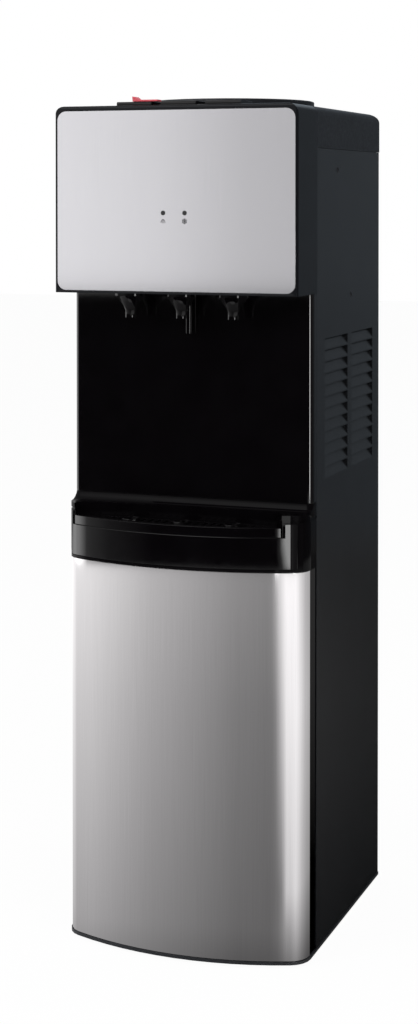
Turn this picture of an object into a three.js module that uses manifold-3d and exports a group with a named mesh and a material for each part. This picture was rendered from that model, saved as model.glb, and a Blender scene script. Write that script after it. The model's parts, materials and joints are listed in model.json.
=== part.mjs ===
// A free-standing water cooler: three push keys, three taps over a drip tray, and a seat for a bottle.
// Lengths are millimetres and +Z is up. X runs to the right, Y to the back, Z = 0 is the floor.
import * as THREE from "three";
import { mergeVertices } from "three/addons/utils/BufferGeometryUtils.js";
import Module from "manifold-3d";

const wasm = await Module();
wasm.setup();

// Whole cabinet
const width = 310;
const depth = 362;
const seat = 0.3; // clearance between pieces that touch
const cut = 5; // how far a cutter runs past the face it cuts
const sheet = 1; // steel sheet of the panels
const skin = 2.5; // moulded plastic wall
const roundSides = 24; // facets of the large turned pieces
const tankSides = 20; // facets of the tanks and what lies round them

// Heights, from the floor up
const footDrop = 4;
const rimHeight = 3.7;
const lowerPanelHeight = 463;
const housingHeight = 67.7;
const nicheHeight = 261;
const headHeight = 226;
const coverHeight = 50.7;
const collarRise = 12;

// Plan of the bowed front
const bowRadiusShare = 1.18; // of the width
const bowCorner = 28;
const bowSteps = 12;
const cornerSteps = 4;

// Base pan and feet
const upstandInset = 2.4;
const upstandWall = 1.6;
const upstandHeight = 18;
const footRadius = 14;
const footSoleShare = 0.86; // of the foot's radius
const footChamferShare = 0.4; // of the foot's height
const footStudRadius = 4;
const footStudHeight = 14;
const footInsetX = 34;
const footFrontSetback = 62;
const footRearInset = 30;

// Side panels and their louvres
const panelSetback = 78;
const panelInset = 0.8; // of the side panels behind the cabinet's sides
const flangeWidth = 14;
const louvreRows = 12;
const louvrePitch = 14.4;
const louvreHeight = 12.6;
const louvreDepth = 5;
const louvreTop = 743.4;
const louvreFrontShares = [0.31, 0.637]; // of the depth
const louvreLengthShare = 0.276;

// Rear panel
const rearRecess = 18;
const rearPanelFoot = 300;
const rearPanelLip = 15;

// Lower front panel
const lowerPanelInset = 1.2;
const lowerPanelGap = 4;
const lowerPanelReturn = 9;

// Tray housing, its front cover, the drip tray and the grille
const housingWall = 4.5;
const housingRear = 75.5;
const deckThickness = 3;
const filletRadius = 10;
const wellLeftMargin = 12; // the left arm is slimmer than the right one
const wellRightMargin = 27;
const wellBackMargin = 41;
const wellLeftStart = 39;
const wellRightStart = 26.5;
const wellDepth = 39.5;
const wellFloor = 2.5;
const lipDrop = 15;
const lipHeight = 10.7;
const lipWall = 3;
const lipGap = 0.6;
const coverPlate = 1.7;
const coverLeftMargin = 4;
const coverRightMargin = 10;
const coverNotchOver = 3.5; // of the cover's notch beyond the well
const coverTopDrop = 10;
const coverFootRise = 3.7;
const deckGrooveDrop = 6;
const deckGroove = 3;
const deckGrooveDepth = 1.2;
const trayClear = 1.2;
const trayWall = 2;
const trayLedge = 2.6;
const trayHeight = 23.4;
const grilleThickness = 2.6;
const grilleSlot = 4;
const grillePitch = 10;
const grilleRim = 7;
const targetRadius = 11.5;
const targetWall = 2;
const targetRise = 2;
const targetSideShare = 0.6; // of the rise
const targetCrestShare = 0.4; // of the wall

// Niche panel behind the taps
const nicheSetback = 58;
const nicheCorner = 8;

// Head: fascia, its metal plate, the lamps
const headCorner = 11.5;
const headFrontRound = 2.8;
const coverRearRound = 27;
const coverRearDrop = 10;
const plateThickness = 1;
const plateSetback = 0.3;
const plateSideMargin = 3.2;
const plateTopMargin = 6;
const plateFootMargin = 3;
const plateCorner = 11;
const bezelWall = 2.7;
const headFloorDepth = 62;
const lampHeight = 97;
const lampSpacing = 27.4;
const lampRadius = 2.5;
const lampLength = 7;

// Keys and their shaft
const keyPitch = 57;
const keyWidth = 45;
const keyFront = 14.5;
const keyDepth = 40.5;
const keyRise = 5;
const keySkirt = 14;
const keyWall = 2.7;
const keyRound = 2.5;
const keyGap = 0.9;
const keySwing = 2.1;
const hingeSetback = 50;
const hingeDrop = 10;
const shaftRadius = 2;
const ribWidth = 5;
const ribDepth = 12;
const ribReach = 17;
const bossHalf = 3;
const bossDrop = 25;

// Child lock on the hot key
const lockLength = 32.5;
const lockDepth = 13;
const lockPlate = 2.1;
const lockOverhang = 7.1;
const lockSetback = 17;
const lockTabHeight = 4.1;
const lockTabWidth = 6.5;
const lockTabShares = [[0.45, 0.88], [1, 0.2]]; // of its width and height, down its slope
const lockTabFootShare = 1.4; // of its width
const lockTravel = 8;
const lockNeck = 4;
const lockFoot = 8;

// Taps, stems and springs
const tapPitch = 66;
const tapSetback = 26;
const tapMouthRadius = 7;
const tapBore = 4.5;
const tapMouthDrop = 30;
const tapMouthLength = 9;
const tapFunnelRadius = 20.5;
const tapFunnelShares = [[0.22, 0.28], [0.62, 0.66], [1, 0.86]]; // of its spread and rise
const tapNeckRadius = 12;
const tapBodyRadius = 14;
const tapBodyHeight = 102;
const tapInletHeight = 48;
const tapInletReach = 12;
const tapInletRadius = 5;
const stemRadius = 2.5;
const stemBoreDepth = 25;
const stemBottom = 5;
const stemHeadRadius = 5;
const stemHead = 2.7;
const springLength = 29.4;
const springRadius = 6;
const springWire = 0.8;
const springTurns = 4;
const stemCollarRadius = 9;
const stemCollar = 3;
const ventRadius = 4;
const ventWall = 1;
const ventDrop = 50;
const ventSetback = 51.3;

// Bottle seat
const collarOverTank = 28; // how far the ring reaches out past the cold tank
const collarHoleOverTank = 17;
const collarWall = 2.5;
const collarLip = 5;
const collarSkirtInset = 2;
const dishMargin = 8;
const dishDrop = 18;
const socketRadius = 30;
const socketDrop = 44;
const probeRadius = 10;
const probeTopDrop = 4;
const probeTail = 36;
const probeSlotShare = 1.2; // of the probe's radius

// Cold tank, foam, evaporator
const foamSetback = 89.8; // of the foam behind the cabinet's front
const foamRearGap = 23.8; // between the foam and the rear panel
const coldHeight = 173;
const tankWall = 1.5;
const coldRim = 68; // the tank's rim below the top of the head
const gasketHeight = 4.7;
const gasketWidth = 7;
const foamWallShare = 0.2083; // of the foam's radius
const foamFloor = 17;
const foamTopDrop = 3;
const coilTube = 3.5;
const coilClearShare = 0.0296; // of the foam's radius
const coilTurns = 4;
const coilPitch = 21;
const coilSteps = 12;
const coilRise = 16;
const coilTailGap = 25; // of the coil's tails beside the compressor
const coilTailShare = 0.826; // or of the foam's radius, where that is more
const coilTailDrop = 28;
const coilTailInShare = 0.3; // of the tails' place, where they meet the turns
const outletRadius = 5;
const outletWall = 1.5;
const coldOutletRise = 10;
const ambientOutletRise = 115;
const outletReach = 7;
const baffleRise = 95;
const baffleClear = 4;
const baffleTube = 12;
const baffleHole = 5;

// Shelf, hot tank and drain
const shelfSetback = 84;
const shelfUpstand = 28;
const feedDrop = 9;
const hotXShare = -0.242; // of the width
const hotRadiusShare = 0.145;
const hotHeight = 140;
const hotDrop = 26;
const hotStub = 12;
const hotOutletForward = 14;
const hotOutletHeight = 8.4;
const bracketClear = 3;
const bracketDepth = 30;
const bracketFlange = 10;
const heaterRise = 30;
const heaterHeight = 50;
const heaterWall = 2.7;
const heaterGap = 8;
const pipeRadius = 6;
const hoseBend = 12;
const hoseLane = 72;
const hoseRun = 16.5;
const drainHeight = 318;
const drainReach = 7;
const drainCapRadius = 9.5;
const drainCapLength = 12;

// Cooling circuit
const compressorXShare = 0.226; // of the width
const compressorYShare = 0.2265; // of the depth
const compressorSetbackShare = 0.6215;
const compressorHeight = 143;
const mountHeight = 12;
const mountRadius = 11;
const mountXShare = 1.2; // of the shell's half width
const mountYShare = 0.51;
const mountPlate = 2.5;
const portHeight = 110;
const portRadius = 4.5;
const portLength = 10;
const dischargeX = 30;
const relayDeep = 22;
const relayWide = 44;
const relayTall = 50;
const relayRise = 60;
const lineRadius = 3;
const lineBend = 12;
const lineLane = 22; // gap in which the lines run, ahead of the rear panel's plane
const condenserTube = 2.5;
const condenserRuns = 9;
const condenserPitch = 64;
const condenserMargin = 13; // from the serpentine to the risers
const condenserTop = 872;
const condenserWires = 6;
const condenserWire = 2;
const condenserWireOver = 12;
const condenserTab = 8;
const riserMargin = 24; // from the risers to the cabinet's side
const lineFoot = 255;
const drierRadius = 8;
const drierLength = 80;
const capillaryRadius = 1.5;
const capillaryHeight = 270;

// Rear switches, gland, thermostat
const switchSpacing = 24;
const switchMargin = 60;
const switchDrop = 96;
const switchRim = 2.5;
const switchFace = 1.5;
const switchWellWide = 16;
const switchWellTall = 13;
const switchWellDepth = 8;
const switchBody = 12;
const rockerTall = 10.4;
const rockerProud = 2.6;
const rockerDip = 1.4;
const rockerDepth = 5;
const glandRadius = 10;
const glandNeck = 7;
const glandHole = 4;
const glandLength = 8;
const glandMargin = 60;
const glandDrop = 92;
const thermostatMargin = 55;
const thermostatDrop = 60;
const thermostatWide = 40;
const thermostatTall = 34;
const thermostatDeep = 24;

// Levels and planes worked out from the sizes above
const half = width / 2;
const panelHalf = half - panelInset;
const front = -depth / 2;
const back = depth / 2;
const panelFoot = footDrop + rimHeight + seat;
const lowerPanelTop = panelFoot + lowerPanelHeight;
const housingFoot = lowerPanelTop + seat;
const deckTop = housingFoot + housingHeight;
const headFoot = deckTop + nicheHeight;
const headTop = headFoot + headHeight;
const coverFoot = headTop - coverHeight;
const collarTop = headTop + collarRise;
const sidePanelTop = coverFoot - seat;
const headRear = front + panelSetback - seat;
const riserX = half - riserMargin;
const condenserHalf = riserX - condenserMargin;
const switchX = -half + switchMargin;
const glandX = half - glandMargin;
const thermostatX = half - thermostatMargin;
const wellLeft = -half + wellLeftMargin;
const wellRight = half - wellRightMargin;
const wellBackHalf = half - wellBackMargin;
const coverLeft = -half + coverLeftMargin;
const coverRight = half - coverRightMargin;
const tapY = front + tapSetback;
const rearPanelY = back - rearRecess;
const bowRadius = bowRadiusShare * width;
const bowCentreY = front + bowRadius;
const bowReach = half - bowCorner;
const bowSpan = Math.sqrt((bowRadius - bowCorner) ** 2 - bowReach ** 2);
const cornerY = bowCentreY - bowSpan;
const bowAngle = Math.atan2(bowReach, bowSpan);
const coldTop = headTop - coldRim;
const coldFoot = coldTop - coldHeight;
const foamRadius = (depth - foamSetback - foamRearGap - rearRecess) / 2;
const axisY = front + foamSetback + foamRadius; // of the bottle, its seat, the foam and the cold tank
const foamHollow = (1 - foamWallShare) * foamRadius;
const coilClear = coilClearShare * foamRadius;
const coilRadius = foamHollow - coilTube - coilClear / 2;
const coldRadius = coilRadius - coilTube - coilClear;
const collarRadius = coldRadius + collarOverTank;
const collarHole = coldRadius + collarHoleOverTank;
const collarSkirtRadius = coldRadius - collarSkirtInset;
const dishRadius = (socketRadius + collarSkirtRadius) / 2 + dishMargin;
const coldOutletX = coldRadius / 2;
const baffleRadius = coldRadius - baffleClear;
const compressorX = compressorXShare * width;
const compressorY = compressorYShare * depth;
const coilTailX = Math.max(compressorX + coilTailGap, coilTailShare * foamRadius);
const hotX = hotXShare * width;
const hotRadius = hotRadiusShare * width;
const foamFoot = coldFoot - seat - foamFloor;
const shelfTop = foamFoot - seat;
const shelfFoot = shelfTop - tankWall;
const hotTop = shelfFoot - hotDrop;
const hotFoot = hotTop - hotHeight;
const coldOutletZ = coldFoot + coldOutletRise;
const ambientOutletZ = coldFoot + ambientOutletRise;
const condenserY = rearPanelY + sheet + (rearRecess - sheet) / 2;

// Turns a closed geometry into a manifold solid whose faces point out.
function solid(geometry) {
  const bare = geometry.index ? geometry.toNonIndexed() : geometry.clone();
  bare.deleteAttribute("normal");
  bare.deleteAttribute("uv");
  const merged = mergeVertices(bare);
  const points = merged.attributes.position;
  const triVerts = new Uint32Array(merged.index.array);
  const [a, b, c] = [new THREE.Vector3(), new THREE.Vector3(), new THREE.Vector3()];
  let volume = 0;
  for (let i = 0; i < triVerts.length; i += 3) {
    a.fromBufferAttribute(points, triVerts[i]);
    b.fromBufferAttribute(points, triVerts[i + 1]);
    c.fromBufferAttribute(points, triVerts[i + 2]);
    volume += a.dot(b.cross(c));
  }
  if (volume < 0) triVerts.reverse();
  return new wasm.Manifold(new wasm.Mesh({ numProp: 3, vertProperties: points.array, triVerts }));
}

const join = (...solids) => solids.reduce((sum, s) => sum.add(s));
const carve = (body, ...cutters) => cutters.reduce((rest, s) => rest.subtract(s), body);

function box(x0, x1, y0, y1, z0, z1) {
  const geometry = new THREE.BoxGeometry(x1 - x0, y1 - y0, z1 - z0);
  return solid(geometry.translate((x0 + x1) / 2, (y0 + y1) / 2, (z0 + z1) / 2));
}

// An upright cylinder.
function rod(radius, x, y, z0, z1, sides = 12) {
  const geometry = new THREE.CylinderGeometry(radius, radius, z1 - z0, sides);
  return solid(geometry.rotateX(Math.PI / 2).translate(x, y, (z0 + z1) / 2));
}

// A cylinder along X, and one along Y.
function rodX(radius, x0, x1, y, z, sides = 12) {
  const geometry = new THREE.CylinderGeometry(radius, radius, x1 - x0, sides);
  return solid(geometry.rotateZ(Math.PI / 2).translate((x0 + x1) / 2, y, z));
}
function rodY(radius, x, y0, y1, z, sides = 12) {
  const geometry = new THREE.CylinderGeometry(radius, radius, y1 - y0, sides);
  return solid(geometry.translate(x, (y0 + y1) / 2, z));
}

const shapeOf = (points) => new THREE.Shape(points.map(([u, v]) => new THREE.Vector2(u, v)));

// Outlines drawn in plan and raised, drawn from the side (y, z) and run along X,
// and drawn from the front (x, z) and run along Y.
function prism(points, z0, z1) {
  const geometry = new THREE.ExtrudeGeometry(shapeOf(points), { depth: z1 - z0, bevelEnabled: false });
  return solid(geometry.translate(0, 0, z0));
}
function prismX(points, x0, x1) {
  const geometry = new THREE.ExtrudeGeometry(shapeOf(points), { depth: x1 - x0, bevelEnabled: false });
  const turn = new THREE.Matrix4().makeBasis(
    new THREE.Vector3(0, 1, 0), new THREE.Vector3(0, 0, 1), new THREE.Vector3(1, 0, 0));
  return solid(geometry.applyMatrix4(turn).translate(x0, 0, 0));
}
function prismY(points, y0, y1) {
  const geometry = new THREE.ExtrudeGeometry(shapeOf(points), { depth: y1 - y0, bevelEnabled: false });
  return solid(geometry.rotateX(Math.PI / 2).translate(0, y1, 0));
}

// A profile of (radius, z) points turned about an upright axis.
// A profile off the axis is closed by repeating its start.
function turned(points, x, y, sides = 24) {
  const closed = points[0][0] === 0 ? points : [...points, points[0]];
  const profile = closed.map(([r, z]) => new THREE.Vector2(r, z));
  return solid(new THREE.LatheGeometry(profile, sides).rotateX(Math.PI / 2).translate(x, y, 0));
}

// Points of an arc about (u, v), from one angle to another, both ends included.
function arc(u, v, radius, from, to, steps) {
  return Array.from({ length: steps + 1 }, (_, i) => {
    const angle = from + ((to - from) * i) / steps;
    return [u + radius * Math.cos(angle), v + radius * Math.sin(angle)];
  });
}

// A path through given points whose parameter counts the points, so an extrusion has a ring at each of them.
class Route extends THREE.Curve {
  constructor(points) {
    super();
    this.points = points;
  }
  getUtoTmapping(u) {
    return u;
  }
  getPoint(t) {
    const last = this.points.length - 1;
    const i = Math.min(Math.floor(t * last + 1e-9), last - 1);
    return this.points[i].clone().lerp(this.points[i + 1], t * last - i);
  }
  getTangent(t) {
    const last = this.points.length - 1;
    const i = Math.round(t * last);
    const [before, after] = [this.points[Math.max(i - 1, 0)], this.points[Math.min(i + 1, last)]];
    return after.clone().sub(before).normalize();
  }
}

// A tube of given radius through points.
function tube(points, radius, sides = 8) {
  const section = shapeOf(arc(0, 0, radius, 0, (2 * Math.PI * (sides - 1)) / sides, sides - 1));
  const path = new Route(points);
  return solid(new THREE.ExtrudeGeometry(section, {
    steps: points.length - 1, bevelEnabled: false, extrudePath: path,
  }));
}

const bendShare = 0.495; // of a straight, the most that one bend may use

// Rounds the corners of a run of [x, y, z] points into bends.
function bends(corners, radius, steps = 3) {
  const points = corners.map((p) => new THREE.Vector3(...p));
  const out = [points[0]];
  for (let i = 1; i < points.length - 1; i += 1) {
    const toLast = points[i - 1].clone().sub(points[i]);
    const toNext = points[i + 1].clone().sub(points[i]);
    const reach = Math.min(radius, toLast.length() * bendShare, toNext.length() * bendShare);
    const from = points[i].clone().add(toLast.setLength(reach));
    const to = points[i].clone().add(toNext.setLength(reach));
    out.push(...new THREE.QuadraticBezierCurve3(from, points[i], to).getPoints(steps));
  }
  return [...out, points.at(-1)];
}

// The bowed front in plan from left to right, drawn in by an inset, its sides run back to rearY.
function bow(inset, rearY) {
  const start = -Math.PI / 2 - bowAngle;
  const frontArc = arc(0, bowCentreY, bowRadius - inset, start, start + 2 * bowAngle, bowSteps);
  const left = arc(-bowReach, cornerY, bowCorner - inset, -Math.PI, start, cornerSteps);
  const right = arc(bowReach, cornerY, bowCorner - inset, start + 2 * bowAngle, 0, cornerSteps);
  return [[-half + inset, rearY], ...left, ...frontArc.slice(1, -1), ...right, [half - inset, rearY]];
}

// How far back the bowed front lies at x.
const bowY = (x) => bowCentreY - Math.sqrt(bowRadius ** 2 - x ** 2);

const group = new THREE.Group();

function add(name, body, color, roughness, metalness = 0) {
  const mesh = body.getMesh();
  const geometry = new THREE.BufferGeometry();
  geometry.setAttribute("position", new THREE.BufferAttribute(new Float32Array(mesh.vertProperties), 3));
  geometry.setIndex(new THREE.BufferAttribute(new Uint32Array(mesh.triVerts), 1));
  geometry.computeVertexNormals();
  const piece = new THREE.Mesh(geometry, new THREE.MeshStandardMaterial({ color, roughness, metalness }));
  piece.name = name;
  group.add(piece);
}

const glossBlack = [0x0b0a0d, 0.12];
const satinBlack = [0x17171a, 0.42];
const paintBlack = [0x1c1c20, 0.5, 0.2];
const brushedSteel = [0xb9b7b8, 0.34, 0.9];
const bareSteel = [0xa9abad, 0.3, 0.95];
const galvanised = [0x8e9193, 0.55, 0.8];
const copper = [0xb06a43, 0.35, 0.95];
const silicone = [0xd9d6cc, 0.6];
const rubber = [0x141414, 0.85];
const foam = [0xe9e6dc, 0.95];

// Base pan and feet
const footPlaces = [
  ["front_left", -half + footInsetX, front + footFrontSetback],
  ["front_right", half - footInsetX, front + footFrontSetback],
  ["rear_left", -half + footInsetX, back - footRearInset],
  ["rear_right", half - footInsetX, back - footRearInset],
];
const panTop = footDrop + rimHeight;

function basePan() {
  const floor = prism(bow(0, back), footDrop, panTop);
  const upstandIn = upstandInset + upstandWall;
  const rim = carve(
    prism(bow(upstandInset, back - upstandInset), panTop, panTop + upstandHeight),
    prism(bow(upstandIn, back - upstandIn), panTop, panTop + upstandHeight + cut),
  );
  const notch = box(
    -half - cut, half + cut, front + panelSetback - lowerPanelGap - 2 * sheet, front + panelSetback + 2 * sheet,
    panTop, panTop + upstandHeight + cut,
  );
  const holes = footPlaces.map(([, x, y]) => rod(footStudRadius + seat, x, y, footDrop - cut, panTop + cut));
  return carve(join(floor, carve(rim, notch)), ...holes);
}

function foot(x, y) {
  const top = footDrop - seat;
  const profile = [
    [0, 0], [footSoleShare * footRadius, 0], [footRadius, footChamferShare * top], [footRadius, top],
    [footStudRadius, top], [footStudRadius, top + footStudHeight], [0, top + footStudHeight],
  ];
  return turned(profile, x, y, 10);
}

// A side panel: a channel in plan with two columns of pressed louvres.
// side is 1 on the right and -1 on the left.
function sidePanel(side) {
  const outer = side * panelHalf;
  const inner = outer - side * sheet;
  const flange = outer - side * flangeWidth;
  const frontY = front + panelSetback;
  const channel = prism([
    [outer, frontY], [outer, back], [flange, back], [flange, back - sheet],
    [inner, back - sheet], [inner, frontY + sheet], [flange, frontY + sheet], [flange, frontY],
  ], panelFoot, sidePanelTop);
  const hoods = [];
  const cavities = [];
  for (const share of louvreFrontShares) {
    const [y0, y1] = [front + share * depth, front + (share + louvreLengthShare) * depth];
    for (let row = 0; row < louvreRows; row += 1) {
      const z1 = louvreTop - row * louvrePitch;
      const z0 = z1 - louvreHeight;
      const deep = outer - side * louvreDepth;
      const behind = deep - side * sheet;
      hoods.push(prismY([
        [outer, z0 - sheet], [inner, z0 - sheet], [behind, z1 - sheet / 2], [outer, z1 - sheet / 2],
      ], y0 - sheet, y1 + sheet));
      const clear = outer + side * cut;
      cavities.push(prismY([[clear, z0], [outer, z0], [deep, z1], [clear, z1]], y0, y1));
    }
  }
  return carve(join(channel, ...hoods), ...cavities);
}

function lowerFrontPanel() {
  const rearY = front + panelSetback - lowerPanelGap;
  const outside = bow(lowerPanelInset, rearY);
  const inside = bow(lowerPanelInset + sheet, rearY - sheet);
  const lip = half - lowerPanelInset - lowerPanelReturn;
  const right = [[lip, rearY], [lip, rearY - sheet]];
  const left = [[-lip, rearY - sheet], [-lip, rearY]];
  return prism([...outside, ...right, ...inside.reverse(), ...left], panelFoot, lowerPanelTop);
}

// The rear panel: a flat sheet with lips at its head and foot, let in between the side panels.
const switchZ = headTop - switchDrop;
const glandZ = headTop - glandDrop;
const switchPlaces = [["heat", switchX - switchSpacing / 2], ["cool", switchX + switchSpacing / 2]];
const switchHalf = (switchSpacing + switchWellWide) / 2 + switchRim;
const switchTall = switchWellTall / 2 + switchRim;

function rearPanel() {
  const edge = panelHalf - sheet - seat;
  const top = sidePanelTop - sheet;
  const y1 = rearPanelY + sheet;
  const lip = rearPanelY + rearPanelLip;
  const footHalf = riserX - 3 * lineRadius;
  const plate = join(
    box(-edge, edge, rearPanelY, y1, rearPanelFoot, top),
    box(-edge, edge, rearPanelY, lip, top - sheet, top),
    box(-footHalf, footHalf, rearPanelY, lip, rearPanelFoot, rearPanelFoot + sheet),
  );
  const grip = switchHalf + seat - sheet;
  const window = box(
    switchX - grip, switchX + grip, rearPanelY - cut, y1 + cut,
    switchZ - switchTall - seat + sheet, switchZ + switchTall + seat - sheet,
  );
  return carve(
    plate, window,
    rodY(glandNeck + seat, glandX, rearPanelY - cut, y1 + cut, glandZ),
    rodY(pipeRadius + seat, hotX, rearPanelY - cut, y1 + cut, drainHeight),
  );
}

// Tray housing
const wellBackY = front + nicheSetback - filletRadius - lipGap;
const wellPlan = (inset) => [
  [wellLeft + inset, front - cut], [wellRight - inset, front - cut],
  [wellRight - inset, front + wellRightStart], [wellBackHalf - inset, wellBackY - inset],
  [-wellBackHalf + inset, wellBackY - inset], [wellLeft + inset, front + wellLeftStart],
];
const wellBottom = deckTop - wellDepth;
const lipTop = deckTop - lipDrop;
const lipFoot = lipTop - lipHeight;
const coverTop = deckTop - coverTopDrop;
const coverPlateFoot = housingFoot + coverFootRise;
const housingRearY = front + housingRear;
const wallTop = deckTop + filletRadius;

function trayHousing() {
  const block = prism(bow(0, housingRearY), housingFoot, deckTop);
  const hollow = carve(
    prism(bow(housingWall, housingRearY + cut), housingFoot - cut, deckTop - deckThickness),
    prism(wellPlan(-wellFloor), wellBottom - wellFloor, deckTop + cut),
  );
  const well = wellPlan(0);
  const wellLow = prism(well, wellBottom, lipFoot)
    .intersect(prism(bow(housingWall, housingRearY), wellBottom, lipFoot));
  const wellHigh = prism(well, lipFoot - lipGap, deckTop + cut);
  const groove = carve(
    prism(bow(-cut, housingRearY + cut), deckTop - deckGrooveDrop - deckGroove, deckTop - deckGrooveDrop),
    prism(bow(deckGrooveDepth, housingRearY + 2 * cut), deckTop - coverTopDrop - deckGroove, deckTop),
  );
  const coverSeat = carve(
    prism(bow(-cut, housingRearY), coverPlateFoot - seat, coverTop + seat),
    prism(bow(coverPlate + seat, housingRearY + cut), housingFoot, deckTop),
  ).intersect(box(coverLeft - seat, coverRight + seat, front - cut, housingRearY, housingFoot, deckTop));
  const body = carve(block, hollow, wellLow, wellHigh, groove, coverSeat);
  return join(body, wallFoot());
}

// The foot of the niche wall: a hollow fillet that rises from the deck and turns round the wall's two corners.
function wallFoot() {
  const wallY = front + nicheSetback;
  const cornerX = half - nicheCorner;
  const bottom = deckTop - deckThickness;
  const section = [
    [wallY + skin, bottom], [wallY - filletRadius, bottom],
    ...arc(wallY - filletRadius, wallTop, filletRadius, -Math.PI / 2, 0, 5), [wallY + skin, wallTop],
  ];
  const straight = prismX(section, -cornerX, cornerX);
  const ring = [
    [nicheCorner - skin, bottom], [nicheCorner + filletRadius, bottom],
    ...arc(nicheCorner + filletRadius, wallTop, filletRadius, -Math.PI / 2, -Math.PI, 5),
    [nicheCorner - skin, wallTop],
  ];
  const ends = [-1, 1].map((side) => {
    const [x0, x1] = [Math.min(side * cornerX, side * half), Math.max(side * cornerX, side * half)];
    const turn = turned(ring, side * cornerX, wallY + nicheCorner, 32);
    const corner = turn.intersect(box(x0, x1, wallY - filletRadius, wallY + nicheCorner, bottom, wallTop));
    const inner = side * (half - skin);
    const flank = box(
      Math.min(inner, side * half), Math.max(inner, side * half),
      wallY + nicheCorner, housingRearY, bottom, wallTop,
    );
    return join(corner, flank);
  });
  return join(straight, ...ends);
}

function trayFrontCover() {
  const plate = carve(
    prism(bow(0, housingRearY), coverPlateFoot, coverTop),
    prism(bow(coverPlate, housingRearY + cut), coverPlateFoot - cut, coverTop + cut),
  ).intersect(box(coverLeft, coverRight, front, front + nicheSetback, coverPlateFoot, coverTop));
  const [x0, x1] = [wellLeft - coverNotchOver, wellRight + coverNotchOver];
  return carve(plate, box(x0, x1, front - cut, housingRearY, lipFoot - lipGap, coverTop + cut));
}

function dripTray() {
  const foot = wellBottom + seat;
  const top = foot + trayHeight;
  const shape = (inset, rear) => [wellPlan(trayClear + inset), bow(housingWall + lipGap + inset, rear)];
  const cup = (inset, z0, z1) => {
    const [well, arcPlan] = shape(inset, housingRearY);
    return prism(well, z0, z1).intersect(prism(arcPlan, z0, z1));
  };
  const body = cup(0, foot, top);
  const lip = carve(
    prism(bow(0, housingRearY), lipFoot, lipTop),
    prism(bow(lipWall, housingRearY + cut), lipFoot - cut, lipTop + cut),
  ).intersect(prism(wellPlan(trayClear), lipFoot, lipTop));
  const bridge = carve(
    prism(bow(seat, housingRearY), lipFoot, top),
    prism(bow(housingWall + lipGap + trayWall, housingRearY + cut), lipFoot - cut, top + cut),
  ).intersect(prism(wellPlan(trayClear), lipFoot, top));
  const ledge = top - grilleThickness;
  return carve(
    join(body, lip, bridge),
    cup(trayWall + trayLedge, foot + trayWall, ledge),
    cup(trayWall, ledge, top + cut),
  );
}

function dripGrille() {
  const foot = wellBottom + seat + trayHeight - grilleThickness + seat;
  const top = foot + grilleThickness;
  const inset = trayWall + seat + trayClear;
  const plate = prism(wellPlan(inset), foot, top)
    .intersect(prism(bow(housingWall + lipGap + trayWall + seat, housingRearY), foot, top));
  const slots = [];
  const reach = Math.floor((wellBackHalf - inset - grilleRim) / grillePitch);
  for (let i = -reach; i <= reach; i += 1) {
    const x = i * grillePitch;
    const y0 = bowY(x) + housingWall + lipGap + inset + grilleRim;
    const y1 = wellBackY - inset - grilleRim;
    slots.push(box(x - grilleSlot / 2, x + grilleSlot / 2, y0, y1, foot - cut, top + cut));
  }
  const targets = [-tapPitch, 0, tapPitch].map((x) => turned([
    [targetRadius - targetWall, top - seat / 2], [targetRadius, top - seat / 2],
    [targetRadius, top + targetSideShare * targetRise],
    [targetRadius - targetCrestShare * targetWall, top + targetRise],
    [targetRadius - targetWall, top + targetSideShare * targetRise],
  ], x, tapY, 12));
  return join(carve(plate, ...slots), ...targets);
}

function nichePanel() {
  const wallY = front + nicheSetback;
  const plan = (inset, rearY) => [
    [-half + inset, rearY],
    ...arc(-half + nicheCorner, wallY + nicheCorner, nicheCorner - inset, -Math.PI, -Math.PI / 2, 5),
    ...arc(half - nicheCorner, wallY + nicheCorner, nicheCorner - inset, -Math.PI / 2, 0, 5),
    [half - inset, rearY],
  ];
  const outline = [...plan(0, housingRearY), ...plan(skin, housingRearY).reverse()];
  return prism(outline, wallTop + seat, headFoot - seat);
}

// Head
const keyPlaces = [["hot", -1], ["ambient", 0], ["cold", 1]];
const hingeY = front + hingeSetback;
const hingeZ = headTop - hingeDrop;
const shaftReach = 1.5 * keyPitch + ribWidth / 2;
const lampZ = headFoot + lampHeight;
const lampPlaces = [["heat", -lampSpacing / 2], ["cool", lampSpacing / 2]];

// The head's outline from the front, with its two upper corners rounded, drawn in by an inset.
function headOutline(foot, inset) {
  const [edge, top, radius] = [half - inset, headTop - inset, headCorner - inset];
  return [
    [-edge, foot], [edge, foot],
    ...arc(edge - radius, top - radius, radius, 0, Math.PI / 2, 5),
    ...arc(-edge + radius, top - radius, radius, Math.PI / 2, Math.PI, 5),
  ];
}

function roundedPlate(edge, foot, top, radius) {
  return [
    ...arc(edge - radius, foot + radius, radius, -Math.PI / 2, 0, 5),
    ...arc(edge - radius, top - radius, radius, 0, Math.PI / 2, 5),
    ...arc(-edge + radius, top - radius, radius, Math.PI / 2, Math.PI, 5),
    ...arc(-edge + radius, foot + radius, radius, Math.PI, 1.5 * Math.PI, 5),
  ];
}
const plateOutline = (grow) => roundedPlate(
  half - plateSideMargin + grow, headFoot + plateFootMargin - grow,
  headTop - plateTopMargin + grow, plateCorner + grow,
);

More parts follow.
